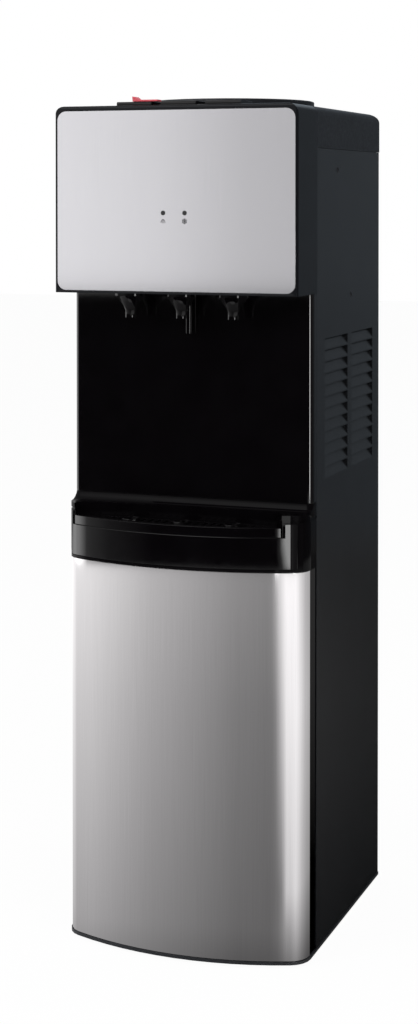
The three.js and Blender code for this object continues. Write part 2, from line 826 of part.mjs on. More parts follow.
function headFascia() {
  const side = [
    [front, headFoot], [headRear, headFoot], [headRear, headTop],
    ...arc(front + headFrontRound, headTop - headFrontRound, headFrontRound, Math.PI / 2, Math.PI, 3),
  ];
  const plan = [
    [half, headRear], [-half, headRear],
    ...arc(-half + headFrontRound, front + headFrontRound, headFrontRound, Math.PI, 1.5 * Math.PI, 3),
    ...arc(half - headFrontRound, front + headFrontRound, headFrontRound, -Math.PI / 2, 0, 3),
  ];
  const block = prismY(headOutline(headFoot, 0), front, headRear)
    .intersect(prismX(side, -half, half))
    .intersect(prism(plan, headFoot, headTop));
  const wallY = front + plateSetback + plateThickness + seat + bezelWall;
  const inner = half - skin;
  const hollow = prismY(headOutline(headFoot + skin, skin), wallY, headRear + cut);
  const [floorFoot, floorTop] = [headFoot - cut, headFoot + skin + cut];
  const floorGap = box(-inner, inner, front + headFloorDepth, headRear + cut, floorFoot, floorTop);
  const plateSeat = prismY(plateOutline(seat), front - cut, front + plateSetback + plateThickness + seat);
  const keyHoles = keyPlaces.map(([, i]) => box(
    i * keyPitch - keyWidth / 2 - keyGap, i * keyPitch + keyWidth / 2 + keyGap,
    front + keyFront - keySwing, front + keyFront + keyDepth + keyGap, headTop - skin - cut, headTop + cut,
  ));
  const tapHoles = keyPlaces.map(([, i]) => rod(tapNeckRadius + seat, i * tapPitch, tapY, floorFoot, floorTop, 16));
  const ventHole = rod(ventRadius + seat, 0, front + ventSetback, floorFoot, floorTop);
  const lampHoles = lampPlaces.map(([, x]) => rodY(lampRadius + seat, x, front - cut, wallY + cut, lampZ, 12));
  const shell = carve(block, hollow, floorGap, plateSeat, ...keyHoles, ...tapHoles, ventHole, ...lampHoles);
  const ribs = [-1.5, -0.5, 0.5, 1.5].map((i) => {
    const [x0, y0] = [i * keyPitch - ribWidth / 2, hingeY - ribDepth / 2];
    return box(x0, x0 + ribWidth, y0, y0 + ribDepth, headTop - ribReach, headTop - skin / 2);
  });
  const span = 2 * keyPitch;
  return carve(join(shell, ...ribs), rodX(shaftRadius + seat, -span, span, hingeY, hingeZ));
}

function fasciaPlate() {
  const plate = prismY(plateOutline(0), front + plateSetback, front + plateSetback + plateThickness);
  const holes = lampPlaces.map(([, x]) => rodY(lampRadius + seat, x, front - cut, front + cut, lampZ, 12));
  return carve(plate, ...holes);
}

function topCover() {
  const side = (inset, frontY, foot) => [
    [frontY, foot], [back - inset, foot],
    ...arc(0, 0, 1, 0, Math.PI / 2, 6).map(([u, v]) => [
      back - coverRearRound + u * (coverRearRound - inset),
      headTop - coverRearDrop + v * (coverRearDrop - inset),
    ]),
    [frontY, headTop - inset],
  ];
  const shape = (inset, frontY, foot) => prismY(headOutline(foot, inset), frontY, back)
    .intersect(prismX(side(inset, frontY, foot), -half, half));
  const block = shape(0, front + panelSetback, coverFoot);
  const hollow = shape(skin, front, coverFoot - cut);
  return carve(block, hollow, rod(collarHole, 0, axisY, headTop - skin - cut, headTop + cut, roundSides));
}

// Keys. Each turns on the shaft behind it, and its boss pushes the stem of its tap.
const keyTop = headTop + keyRise;
const keyRearY = front + keyFront + keyDepth;

function key(i) {
  const x = i * keyPitch;
  const y0 = front + keyFront;
  const lugZ = hingeZ - shaftRadius - skin;
  const skirtZ = headTop - skin - keySkirt / 2;
  const profile = [
    [y0, skirtZ],
    ...arc(y0 + keyRound, keyTop - keyRound, keyRound, Math.PI, Math.PI / 2, 3),
    ...arc(keyRearY - keyRound, keyTop - keyRound, keyRound, Math.PI / 2, 0, 3),
    [keyRearY, lugZ], [hingeY - skin - shaftRadius, lugZ], [hingeY - 2 * skin - shaftRadius, skirtZ],
  ];
  const inner = keyWidth / 2 - keyWall;
  const shell = carve(
    prismX(profile, x - keyWidth / 2, x + keyWidth / 2),
    box(x - inner, x + inner, y0 + keyWall, keyRearY - keyWall, lugZ - cut, keyTop - keyWall),
  );
  const bossX = i * tapPitch;
  const bossZ = headTop - bossDrop;
  const boss = prismX([
    [tapY - bossHalf, keyTop - keyWall / 2], ...arc(tapY, bossZ + bossHalf, bossHalf, -Math.PI, 0, 6),
    [tapY + bossHalf, keyTop - keyWall / 2],
  ], bossX - bossHalf, bossX + bossHalf);
  const bored = carve(join(shell, boss), rodX(shaftRadius + seat, x - keyWidth, x + keyWidth, hingeY, hingeZ));
  return i < 0 ? carve(bored, lockSlot()) : bored;
}

const lockRight = -keyPitch + keyWidth / 2 + lockOverhang;
const lockLeft = lockRight - lockLength;
const lockY = front + lockSetback;
const lockNeckX = -keyPitch + keyWidth / 2 - lockFoot - lockNeck;
const lockNeckY = lockY + lockDepth / 2;

// The slot in the hot key that the lock's neck runs along.
function lockSlot() {
  return box(
    lockNeckX - lockNeck / 2 - lockTravel - seat, lockNeckX + lockNeck / 2 + seat,
    lockNeckY - lockNeck / 2 - seat, lockNeckY + lockNeck / 2 + seat, keyTop - keyWall - cut, keyTop + cut,
  );
}

function childLock() {
  const z0 = keyTop + seat;
  const z1 = z0 + lockPlate;
  const plate = box(lockLeft, lockRight, lockY, lockY + lockDepth, z0, z1);
  const tab = prismY([
    [lockLeft, z1 - lockPlate / 2], [lockLeft - lockPlate / 4, z1 + lockTabHeight],
    ...lockTabShares.map(([u, v]) => [lockLeft + u * lockTabWidth, z1 + v * lockTabHeight]),
    [lockLeft + lockTabFootShare * lockTabWidth, z1 - lockPlate / 2],
  ], lockY, lockY + lockDepth);
  const footTop = keyTop - keyWall - seat;
  const post = (wide, foot, top) => box(
    lockNeckX - wide / 2, lockNeckX + wide / 2, lockNeckY - wide / 2, lockNeckY + wide / 2, foot, top,
  );
  const neck = post(lockNeck, footTop - lockPlate / 2, z1 - lockPlate / 2);
  const hook = post(lockFoot, footTop - lockPlate, footTop);
  return join(plate, tab, neck, hook);
}

// Taps
const tapBodyTop = headFoot + skin + tapBodyHeight;
const inletZ = headFoot + tapInletHeight;
const inletEndY = tapY + tapBodyRadius + tapInletReach;

function tap(i) {
  const x = i * tapPitch;
  const mouth = headFoot - tapMouthDrop;
  const coneFoot = mouth + tapMouthLength;
  const coneTop = headFoot - seat;
  const spread = tapFunnelRadius - tapMouthRadius;
  const rise = coneTop - coneFoot;
  const outside = [
    [tapBore, mouth], [tapMouthRadius, mouth], [tapMouthRadius, coneFoot],
    ...tapFunnelShares.map(([u, v]) => [tapMouthRadius + u * spread, coneFoot + v * rise]),
    [tapFunnelRadius, coneTop],
    [tapNeckRadius, coneTop], [tapNeckRadius, headFoot + skin + seat],
    [tapBodyRadius, headFoot + skin + seat], [tapBodyRadius, tapBodyTop - skin], [tapBodyRadius - skin, tapBodyTop],
    [0, tapBodyTop],
  ];
  const profile = [[0, coneTop], [tapBore, coneFoot], ...outside];
  const wall = tapY + tapBodyRadius;
  const inlet = join(
    rodY(tapInletRadius, x, tapY, inletEndY, inletZ),
    rodY(tapInletRadius + tapBore / 4, x, wall - skin, wall + tapInletReach / 3, inletZ),
  );
  const bore = rod(stemRadius + seat, x, tapY, tapBodyTop - stemBoreDepth, tapBodyTop + cut, 12);
  return carve(join(turned(profile, x, tapY, 16), inlet), bore);
}

function stem(i) {
  const z0 = tapBodyTop - stemBoreDepth + stemBottom;
  const collarZ = tapBodyTop + seat + springLength + seat;
  const headZ = headTop - bossDrop - seat;
  return turned([
    [0, z0], [stemRadius, z0], [stemRadius, collarZ], [stemCollarRadius, collarZ],
    [stemCollarRadius, collarZ + stemCollar], [stemRadius, collarZ + stemCollar],
    [stemRadius, headZ - stemHead], [stemHeadRadius, headZ - stemHead], [stemHeadRadius, headZ], [0, headZ],
  ], i * tapPitch, tapY, 10);
}

// A return spring: one wire wound from the tap's body up to the stem's collar.
function spring(i) {
  const steps = 8 * springTurns;
  const rise = springLength - 2 * springWire;
  const points = Array.from({ length: steps + 1 }, (_, k) => {
    const angle = (k * 2 * Math.PI) / 8;
    return new THREE.Vector3(
      i * tapPitch + springRadius * Math.cos(angle), tapY + springRadius * Math.sin(angle),
      tapBodyTop + seat + springWire + (rise * k) / steps,
    );
  });
  return tube(points, springWire, 4);
}

function ventTube() {
  const flangeZ = headFoot + skin + seat;
  return turned([
    [ventRadius - ventWall, headFoot - ventDrop], [ventRadius, headFoot - ventDrop],
    [ventRadius, flangeZ], [2 * ventRadius, flangeZ], [2 * ventRadius, flangeZ + 2 * ventWall],
    [ventRadius, flangeZ + 2 * ventWall], [ventRadius, flangeZ + 2 * ventRadius],
    [ventRadius - ventWall, flangeZ + 2 * ventRadius],
  ], 0, front + ventSetback, 14);
}

// Bottle seat: a ring on the cover, a dish, a socket for the bottle's neck and a probe that opens the bottle.
function bottleCollar() {
  const foot = headTop + seat;
  const rim = collarTop - collarWall;
  const dish = collarTop - dishDrop - collarRise;
  const floor = collarTop - socketDrop;
  const skirtFoot = coldTop + gasketHeight + 2 * seat;
  const lip = collarHole - seat;
  const probeTop = collarTop - probeTopDrop;
  const bore = probeRadius - collarWall;
  const slope = (rim - dish) / (lip - dishRadius);
  const skirtTop = dish + slope * (collarSkirtRadius - dishRadius) - collarWall;
  const outer = socketRadius + collarWall;
  return turned([
    [0, probeTop], [bore, probeTop - collarWall], [probeRadius, probeTop - 2 * collarWall], [probeRadius, floor],
    [socketRadius, floor], [socketRadius, dish], [dishRadius, dish], [lip, rim],
    [collarRadius - 2 * collarWall, collarTop], [collarRadius - collarWall / 2, collarTop],
    [collarRadius, collarTop - collarWall / 2], [collarRadius, foot],
    [lip, foot], [lip, foot - collarLip], [lip - collarWall, foot - collarLip], [lip - collarWall, foot],
    [collarSkirtRadius, skirtTop], [collarSkirtRadius, skirtFoot], [collarSkirtRadius - collarWall, skirtFoot],
    [collarSkirtRadius - collarWall, skirtTop - collarWall], [dishRadius, dish - collarWall],
    [outer, dish - collarWall], [outer, floor - collarWall],
    [probeRadius, floor - collarWall], [probeRadius, floor - probeTail],
    [bore, floor - probeTail], [bore, probeTop - 3 * collarWall], [0, probeTop - 2 * collarWall],
  ], 0, axisY, roundSides);
}

// Slots in the probe's wall let the water out and air in.
function probeSlots() {
  const z0 = collarTop - socketDrop + probeRadius;
  const z1 = z0 + probeSlotShare * probeRadius;
  const w = collarWall / 2 + seat;
  return join(
    box(-probeRadius - cut, probeRadius + cut, axisY - w, axisY + w, z0, z1),
    box(-w, w, axisY - probeRadius - cut, axisY + probeRadius + cut, z0, z1),
  );
}

function tankGasket() {
  const z0 = coldTop + seat;
  const [r0, r1] = [collarSkirtRadius - gasketWidth / 2, collarSkirtRadius + gasketWidth / 2];
  return turned([[r0, z0], [r1, z0], [r1, z0 + gasketHeight], [r0, z0 + gasketHeight]], 0, axisY, tankSides);
}

// Cold tank: an open pot with a feed stub for the hot tank below and two outlets at its front.
const coldOutlets = [[0, ambientOutletZ], [coldOutletX, coldOutletZ]];
const outletEnd = axisY - foamRadius - outletReach;
const feedTop = shelfFoot - feedDrop;

const stubInnerShare = 0.8; // of the tank's radius, where a stub starts inside its wall

function coldTank() {
  const pot = turned([
    [0, coldFoot], [coldRadius, coldFoot], [coldRadius, coldTop], [coldRadius - tankWall, coldTop],
    [coldRadius - tankWall, coldFoot + tankWall], [0, coldFoot + tankWall],
  ], 0, axisY, tankSides);
  const wallY = axisY - stubInnerShare * coldRadius;
  const stubs = coldOutlets.map(([x, z]) => rodY(outletRadius, x, outletEnd, wallY, z, 12));
  const inside = rod(coldRadius - tankWall, 0, axisY, coldFoot + tankWall, coldTop, tankSides);
  const bores = coldOutlets.map(([x, z]) => rodY(outletRadius - outletWall, x, outletEnd - cut, axisY, z, 12));
  const feed = rod(outletRadius, 0, axisY, feedTop, coldFoot + tankWall, 12);
  const feedBore = rod(outletRadius - outletWall, 0, axisY, feedTop - cut, coldFoot + tankWall + cut, 12);
  return carve(join(pot, feed, ...stubs.map((stub) => carve(stub, inside))), feedBore, ...bores);
}

function insulation() {
  const pot = turned([
    [0, foamFoot], [foamRadius, foamFoot], [foamRadius, coldTop - foamTopDrop],
    [foamHollow, coldTop - foamTopDrop], [foamHollow, coldFoot - seat], [0, coldFoot - seat],
  ], 0, axisY, tankSides);
  const clear = outletRadius + seat;
  const holes = coldOutlets.map(([x, z]) => rodY(clear, x, outletEnd - cut, axisY, z, 12));
  const tails = coilEnds.map(([side, z]) => {
    const end = side * (coilTailX + cut);
    return rodX(coilTube + seat, Math.min(0, end), Math.max(0, end), axisY + coilRadius, z);
  });
  return carve(pot, rod(clear, 0, axisY, foamFoot - cut, coldFoot, 12), ...holes, ...tails);
}

// Evaporator: one tube that comes up behind the tank, winds round it and goes down again.
const coilTop = coldFoot + coilRise + coilTurns * coilPitch;
const coilEnds = [[1, coldFoot + coilRise], [-1, coilTop]];
const coilTailFoot = shelfFoot - coilTailDrop;

function evaporator() {
  const steps = coilSteps * coilTurns;
  const y = axisY + coilRadius;
  const turns = Array.from({ length: steps + 1 }, (_, k) => {
    const angle = Math.PI / 2 + (k * 2 * Math.PI) / coilSteps;
    return new THREE.Vector3(
      coilRadius * Math.cos(angle), axisY + coilRadius * Math.sin(angle),
      coldFoot + coilRise + (coilTurns * coilPitch * k) / steps,
    );
  });
  const tail = ([side, z]) => bends([
    [side * coilTailX, y, coilTailFoot], [side * coilTailX, y, z], [side * coilTailInShare * coilTailX, y, z],
  ], lineBend);
  return tube([...tail(coilEnds[0]), ...turns, ...tail(coilEnds[1]).reverse()], coilTube, 5);
}

function baffle() {
  const z = coldFoot + baffleRise;
  const disc = turned([
    [baffleTube - tankWall, coldFoot + tankWall + seat], [baffleTube, coldFoot + tankWall + seat],
    [baffleTube, z], [baffleRadius, z], [baffleRadius, z + tankWall], [baffleTube - tankWall, z + tankWall],
  ], 0, axisY, 16);
  const ring = (baffleTube + baffleRadius) / 2;
  const holes = arc(0, axisY, ring, 0, 1.5 * Math.PI, 3)
    .map(([x, y]) => rod(baffleHole, x, y, z - cut, z + cut, 6));
  return carve(disc, ...holes);
}

function tankShelf() {
  const edge = panelHalf - sheet - seat;
  const [y0, y1] = [front + shelfSetback, rearPanelY - seat];
  const plate = box(-edge, edge, y0, y1, shelfFoot, shelfTop);
  const sides = [-1, 1].map((side) => box(
    Math.min(side * edge, side * (edge - tankWall)), Math.max(side * edge, side * (edge - tankWall)),
    y0, y1, shelfFoot, shelfTop + shelfUpstand,
  ));
  const tails = coilEnds.map(([side]) => rod(
    coilTube + seat, side * coilTailX, axisY + coilRadius, shelfFoot - cut, shelfTop + cut, 12));
  const feedHole = rod(outletRadius + seat, 0, axisY, shelfFoot - cut, shelfTop + cut);
  return carve(join(plate, ...sides), feedHole, ...tails);
}

// Hot tank, fed from the side, with its outlet on top and its drain pipe below.
const hotY = axisY;
const hotFeedZ = hotFoot + hotStub;
const hotStubEnd = hotX + hotRadius + hotStub;
const hotOutletTop = hotTop + hotOutletHeight;

function hotTank() {
  const shell = rod(hotRadius, hotX, hotY, hotFoot, hotTop, 16);
  const cavity = rod(hotRadius - tankWall, hotX, hotY, hotFoot + tankWall, hotTop - tankWall, 16);
  const feed = rodX(outletRadius, hotX + hotRadius - outletRadius, hotStubEnd, hotY, hotFeedZ, 12);
  const outlet = rod(outletRadius, hotX, hotY - hotOutletForward, hotTop - tankWall, hotOutletTop, 12);
  const drain = tube(bends([
    [hotX, hotY, hotFoot + tankWall / 2], [hotX, hotY, drainHeight],
    [hotX, rearPanelY + sheet + drainReach, drainHeight],
  ], 2 * pipeRadius), pipeRadius);
  const bore = outletRadius - outletWall;
  return carve(
    join(shell, feed, outlet, drain), cavity,
    rodX(bore, hotX, hotStubEnd + cut, hotY, hotFeedZ, 12),
    rod(bore, hotX, hotY - hotOutletForward, hotTop - cut, hotOutletTop + cut, 12),
  );
}

// A strap that hangs the hot tank from the shelf.
function hotTankBracket() {
  const leg = hotRadius + heaterWall + bracketClear;
  const [y0, y1] = [hotY - bracketDepth / 2, hotY + bracketDepth / 2];
  const floor = hotFoot - seat;
  const top = shelfFoot - seat;
  const strap = join(
    box(hotX - leg - tankWall, hotX + leg + tankWall, y0, y1, floor - tankWall, floor),
    ...[-1, 1].map((side) => {
      const [a, b] = [hotX + side * leg, hotX + side * (leg + tankWall)];
      const flange = hotX + side * (leg + bracketFlange);
      return join(
        box(Math.min(a, b), Math.max(a, b), y0, y1, floor - tankWall, top),
        box(Math.min(a, flange), Math.max(a, flange), y0, y1, top - tankWall, top),
      );
    }),
  );
  return carve(
    strap, rod(pipeRadius + seat, hotX, hotY, floor - cut, floor + cut, 12),
    rodX(outletRadius + seat, hotX, hotStubEnd, hotY, hotFeedZ, 12),
  );
}

function bandHeater() {
  const [z0, z1] = [hotFoot + heaterRise, hotFoot + heaterRise + heaterHeight];
  const [r0, r1] = [hotRadius + seat, hotRadius + heaterWall];
  const ring = turned([[r0, z0], [r1, z0], [r1, z1], [r0, z1]], hotX, hotY, 16);
  const slit = box(hotX - heaterGap / 2, hotX + heaterGap / 2, hotY - 2 * hotRadius, hotY, z0 - cut, z1 + cut);
  return carve(ring, slit);
}

function feedPipe() {
  return tube(bends([
    [0, axisY, feedTop - seat], [0, axisY, hotFeedZ], [hotStubEnd + seat, axisY, hotFeedZ],
  ], hoseBend), outletRadius, 8);
}

// Hoses from the tanks to the taps.
const laneY = front + hoseLane;

function hotHose() {
  const z = hotOutletTop + outletRadius + tankWall;
  return tube(bends([
    [hotX, hotY - hotOutletForward, hotOutletTop + seat], [hotX, hotY - hotOutletForward, z],
    [-tapPitch, laneY, z], [-tapPitch, laneY, inletZ], [-tapPitch, inletEndY + seat, inletZ],
  ], hoseBend), outletRadius, 8);
}
function ambientHose() {
  return tube(bends([
    [0, outletEnd - seat, ambientOutletZ], [0, laneY, ambientOutletZ],
    [0, laneY, inletZ], [0, inletEndY + seat, inletZ],
  ], hoseBend), outletRadius, 8);
}
function coldHose() {
  return tube(bends([
    [coldOutletX, outletEnd - seat, coldOutletZ], [coldOutletX, laneY, coldOutletZ],
    [tapPitch, laneY, inletZ], [tapPitch, inletEndY + seat, inletZ],
  ], hoseBend), outletRadius, 8);
}

// Compressor: an oval shell welded to a plate on four rubber-bushed feet, with a port each side.
const compressorYc = front + compressorSetbackShare * depth;
const plateZ = panTop + mountHeight;

function compressor() {
  const [r, z0, z1] = [compressorX, plateZ + mountPlate / 2, plateZ + compressorHeight];
  const round = r / 4;
  const profile = [
    [0, z0], [r - round, z0], ...arc(r - round, z0 + round, round, -Math.PI / 4, 0, 1),
    ...arc(r - 2 * round, z1 - 2 * round, 2 * round, 0, Math.PI / 2, 4), [0, z1 + mountPlate],
  ].map(([u, v]) => new THREE.Vector2(u, v));
  const lathe = new THREE.LatheGeometry(profile, 20).rotateX(Math.PI / 2);
  const shell = solid(lathe.scale(1, compressorY / compressorX, 1).translate(0, compressorYc, 0));
  const [mountX, mountY] = [mountXShare * compressorX, mountYShare * compressorY];
  const x1 = mountX + mountRadius;
  const y1 = mountY + mountRadius;
  const plate = box(-x1, x1, compressorYc - y1, compressorYc + y1, plateZ, plateZ + mountPlate);
  const mounts = [[-1, -1], [1, -1], [1, 1], [-1, 1]].map(([i, j]) => rod(
    mountRadius, i * mountX, compressorYc + j * mountY, panTop + seat, plateZ + mountHeight / 2, 10));
  const suction = rodX(portRadius, -compressorX - portLength, 0, compressorYc, portHeight, 12);
  const dischargeEnd = compressorYc + compressorY + portLength / 2;
  const discharge = rodY(portRadius, dischargeX, compressorYc, dischargeEnd, portHeight);
  return join(shell, plate, ...mounts, suction, discharge);
}

function relayCover() {
  const x0 = compressorX + seat;
  const [y0, y1] = [compressorYc - relayWide / 2, compressorYc + relayWide / 2];
  const [z0, z1] = [relayRise, relayRise + relayTall];
  const shell = box(x0, x0 + relayDeep, y0, y1, z0, z1);
  const hollow = box(x0 - cut, x0 + relayDeep - skin, y0 + skin, y1 - skin, z0 + skin, z1 - skin);
  return carve(shell, hollow);
}

// Condenser: a serpentine tube with upright wires on its outside and tabs that stand it off the rear panel.
function condenser() {
  const rows = Array.from({ length: condenserRuns }, (_, k) => condenserTop - k * condenserPitch);
  const corners = [[riserX, condenserY, lineFoot], [riserX, condenserY, condenserTop]];
  rows.slice(0, -1).forEach((z, k) => {
    const x = k % 2 ? condenserHalf : -condenserHalf;
    corners.push([x, condenserY, z], [x, condenserY, z - condenserPitch]);
  });
  corners.push([-riserX, condenserY, rows.at(-1)], [-riserX, condenserY, lineFoot]);
  const serpentine = tube(bends(corners, condenserPitch / 2, 3), condenserTube, 5);
  const y0 = condenserY + condenserTube - condenserWire / 2;
  const span = condenserHalf - condenserPitch / 2;
  const wires = Array.from({ length: condenserWires }, (_, k) => {
    const x = -span + (2 * span * k) / (condenserWires - 1);
    return box(
      x - condenserWire / 2, x + condenserWire / 2, y0, y0 + condenserWire,
      rows.at(-1) - condenserWireOver, condenserTop + condenserWireOver,
    );
  });
  const tabs = [1, condenserRuns - 3].flatMap((k) => [-1, 1].map((side) => box(
    side * span - condenserTab / 2, side * span + condenserTab / 2, rearPanelY + sheet + seat, condenserY,
    rows[k] - condenserTube / 2, rows[k] + condenserTube / 2,
  )));
  return join(serpentine, ...wires, ...tabs);
}

// Filter drier at the foot of the condenser, with the capillary that climbs to the evaporator.
function filterDrier() {
  const top = lineFoot - seat;
  const foot = top - drierLength;
  const cone = drierRadius;
  const body = turned([
    [0, foot], [condenserTube, foot], [drierRadius, foot + cone], [drierRadius, top - cone],
    [condenserTube, top], [0, top],
  ], -riserX, condenserY, 12);
  const lane = rearPanelY - lineLane;
  const tailY = axisY + coilRadius;
  const capillary = tube(bends([
    [-riserX, condenserY, foot + cone / 2], [-riserX, condenserY, foot - 2 * cone],
    [-riserX, lane, foot - 2 * cone], [-riserX, lane, capillaryHeight], [coilTailX, lane, capillaryHeight],
    [coilTailX, tailY, capillaryHeight + lineLane], [coilTailX, tailY, coilTailFoot - seat],
  ], lineBend), capillaryRadius, 5);
  return join(body, capillary);
}

function suctionPipe() {
  const tailY = axisY + coilRadius;
  return tube(bends([
    [-coilTailX, tailY, coilTailFoot - seat], [-coilTailX, tailY, portHeight],
    [-coilTailX, compressorYc, portHeight], [-compressorX - portLength - seat, compressorYc, portHeight],
  ], lineBend), lineRadius, 8);
}
function dischargePipe() {
  const lane = rearPanelY - lineLane / 2;
  return tube(bends([
    [dischargeX, compressorYc + compressorY + portLength / 2 + seat, portHeight],
    [dischargeX, lane, portHeight], [riserX, lane, portHeight],
    [riserX, condenserY, portHeight + lineBend], [riserX, condenserY, lineFoot - seat],
  ], lineBend), lineRadius, 8);
}

function lampLens(x) {
  return rodY(lampRadius, x, front, front + lampLength, lampZ, 12);
}

// Rear switches in one block, each with a rocker.
const switchFaceY = rearPanelY + sheet + seat + switchFace;

function switchBlock() {
  const bodyHalf = switchHalf - sheet;
  const bodyTall = switchTall - sheet;
  const face = box(
    switchX - switchHalf - sheet, switchX + switchHalf + sheet, rearPanelY + sheet + seat, switchFaceY,
    switchZ - switchTall - sheet, switchZ + switchTall + sheet,
  );
  const body = box(
    switchX - bodyHalf, switchX + bodyHalf, rearPanelY - switchBody, switchFaceY - switchFace / 2,
    switchZ - bodyTall, switchZ + bodyTall,
  );
  const wells = switchPlaces.map(([, x]) => box(
    x - switchWellWide / 2, x + switchWellWide / 2, switchFaceY - switchWellDepth, switchFaceY + cut,
    switchZ - switchWellTall / 2, switchZ + switchWellTall / 2,
  ));
  return carve(join(face, body), ...wells);
}

function rocker(x) {
  const end = rockerTall / 2;
  const edge = switchWellWide / 2 - seat;
  return prismX([
    [switchFaceY + rockerProud, switchZ - end], [switchFaceY + rockerProud - rockerDip, switchZ],
    [switchFaceY + rockerProud, switchZ + end], [switchFaceY - rockerDepth / 2, switchZ + end],
    [switchFaceY - rockerDepth, switchZ], [switchFaceY - rockerDepth / 2, switchZ - end],
  ], x - edge, x + edge);
}

function cordGland() {
  const y1 = rearPanelY + sheet + seat;
  return carve(
    join(
      rodY(glandRadius, glandX, y1, y1 + glandLength / 2, glandZ),
      rodY(glandNeck, glandX, rearPanelY - glandLength, y1 + glandLength, glandZ),
    ),
    rodY(glandHole, glandX, rearPanelY - glandLength - cut, y1 + glandLength + cut, glandZ, 12),
  );
}

function drainCap() {
  const y0 = rearPanelY + sheet + seat;
  return carve(
    rodY(drainCapRadius, hotX, y0, y0 + drainCapLength, drainHeight, 16),
    rodY(pipeRadius + seat, hotX, y0 - cut, rearPanelY + sheet + drainReach + seat, drainHeight),
  );
}

function thermostat() {
  const y1 = rearPanelY - seat;
  const thermostatZ = switchZ - thermostatDrop;
  const body = box(
    thermostatX - thermostatWide / 2, thermostatX + thermostatWide / 2, y1 - thermostatDeep, y1,
    thermostatZ - thermostatTall / 2, thermostatZ + thermostatTall / 2,
  );
  const terminals = [-1, 1].map((side) => box(
    thermostatX + (side * thermostatWide) / 4 - sheet, thermostatX + (side * thermostatWide) / 4 + sheet,
    y1 - thermostatDeep / 2 - 3 * sheet, y1 - thermostatDeep / 2 + 3 * sheet,
    thermostatZ + thermostatTall / 2 - sheet, thermostatZ + thermostatTall / 2 + 4 * sheet,
  ));
  return join(body, ...terminals);
}

add("base_pan", basePan(), ...satinBlack);
footPlaces.forEach(([name, x, y]) => add("foot_" + name, foot(x, y), ...rubber));
add("side_panel_right", sidePanel(1), ...paintBlack);
add("side_panel_left", sidePanel(-1), ...paintBlack);
add("rear_panel", rearPanel(), ...galvanised);
add("lower_front_panel", lowerFrontPanel(), ...brushedSteel);
add("tray_housing", trayHousing(), ...glossBlack);
add("tray_front_cover", trayFrontCover(), ...glossBlack);
add("drip_tray", dripTray(), ...glossBlack);
add("drip_grille", dripGrille(), ...glossBlack);
add("niche_panel", nichePanel(), ...glossBlack);
add("head_fascia", headFascia(), ...satinBlack);
add("fascia_plate", fasciaPlate(), ...brushedSteel);
add("top_cover", topCover(), ...satinBlack);
add("bottle_collar", carve(bottleCollar(), probeSlots()), ...satinBlack);
add("tank_gasket", tankGasket(), ...silicone);
for (const [name, i] of keyPlaces) {
  add("key_" + name, key(i), ...satinBlack);
  add("tap_" + name, tap(i), ...glossBlack);
  add("stem_" + name, stem(i), ...silicone);
  add("spring_" + name, spring(i), ...bareSteel);
}
add("key_shaft", rodX(shaftRadius, -shaftReach, shaftReach, hingeY, hingeZ), ...bareSteel);
add("child_lock", childLock(), 0xc8473f, 0.4);
add("vent_tube", ventTube(), ...satinBlack);
add("cold_tank", coldTank(), ...bareSteel);
add("insulation", insulation(), ...foam);
add("evaporator", evaporator(), ...copper);
add("baffle", baffle(), ...silicone);
add("tank_shelf", tankShelf(), ...galvanised);
add("hot_tank", hotTank(), ...bareSteel);
add("hot_tank_bracket", hotTankBracket(), ...galvanised);
add("band_heater", bandHeater(), ...galvanised);
add("feed_pipe", feedPipe(), ...silicone);
add("hose_hot", hotHose(), ...silicone);
add("hose_ambient", ambientHose(), ...silicone);
add("hose_cold", coldHose(), ...silicone);
add("thermostat", thermostat(), ...satinBlack);
add("compressor", compressor(), ...satinBlack);
add("relay_cover", relayCover(), ...satinBlack);
add("condenser", condenser(), ...satinBlack);
add("filter_drier", filterDrier(), ...copper);
add("suction_pipe", suctionPipe(), ...copper);
add("discharge_pipe", dischargePipe(), ...copper);
lampPlaces.forEach(([name, x]) => add("lamp_" + name, lampLens(x), 0xd8d8d2, 0.2));
add("switch_block", switchBlock(), ...satinBlack);
const rockerColours = { heat: 0xb3261e, cool: 0x1f8a3b };
switchPlaces.forEach(([name, x]) => add("rocker_" + name, rocker(x), rockerColours[name], 0.35));
add("cord_gland", cordGland(), ...satinBlack);
add("drain_cap", drainCap(), ...satinBlack);

export default group;
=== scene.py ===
import json
import math

import bmesh
import bpy
from mathutils import Matrix, Vector


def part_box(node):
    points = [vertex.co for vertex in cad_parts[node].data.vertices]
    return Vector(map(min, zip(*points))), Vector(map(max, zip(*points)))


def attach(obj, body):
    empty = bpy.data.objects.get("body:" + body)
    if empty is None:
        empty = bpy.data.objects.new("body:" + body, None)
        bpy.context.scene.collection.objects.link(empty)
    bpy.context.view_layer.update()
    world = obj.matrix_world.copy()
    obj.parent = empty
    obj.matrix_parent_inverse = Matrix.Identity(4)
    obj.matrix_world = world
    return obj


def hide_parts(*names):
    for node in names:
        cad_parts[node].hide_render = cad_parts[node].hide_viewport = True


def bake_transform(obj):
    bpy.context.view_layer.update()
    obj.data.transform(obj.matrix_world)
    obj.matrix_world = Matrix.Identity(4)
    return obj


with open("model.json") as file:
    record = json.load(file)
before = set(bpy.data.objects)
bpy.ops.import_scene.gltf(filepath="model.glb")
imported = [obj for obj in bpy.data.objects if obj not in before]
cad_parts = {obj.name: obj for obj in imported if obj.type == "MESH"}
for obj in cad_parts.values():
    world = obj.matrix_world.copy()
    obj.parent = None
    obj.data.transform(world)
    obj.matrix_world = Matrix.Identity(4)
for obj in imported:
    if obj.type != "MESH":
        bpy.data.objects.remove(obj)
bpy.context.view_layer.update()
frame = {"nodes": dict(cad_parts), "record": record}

MM = 0.001
WHITE = (1, 1, 1, 1)


def placed(name, data):
    """A new object in the scene."""
    obj = bpy.data.objects.new(name, data)
    bpy.context.scene.collection.objects.link(obj)
    return obj


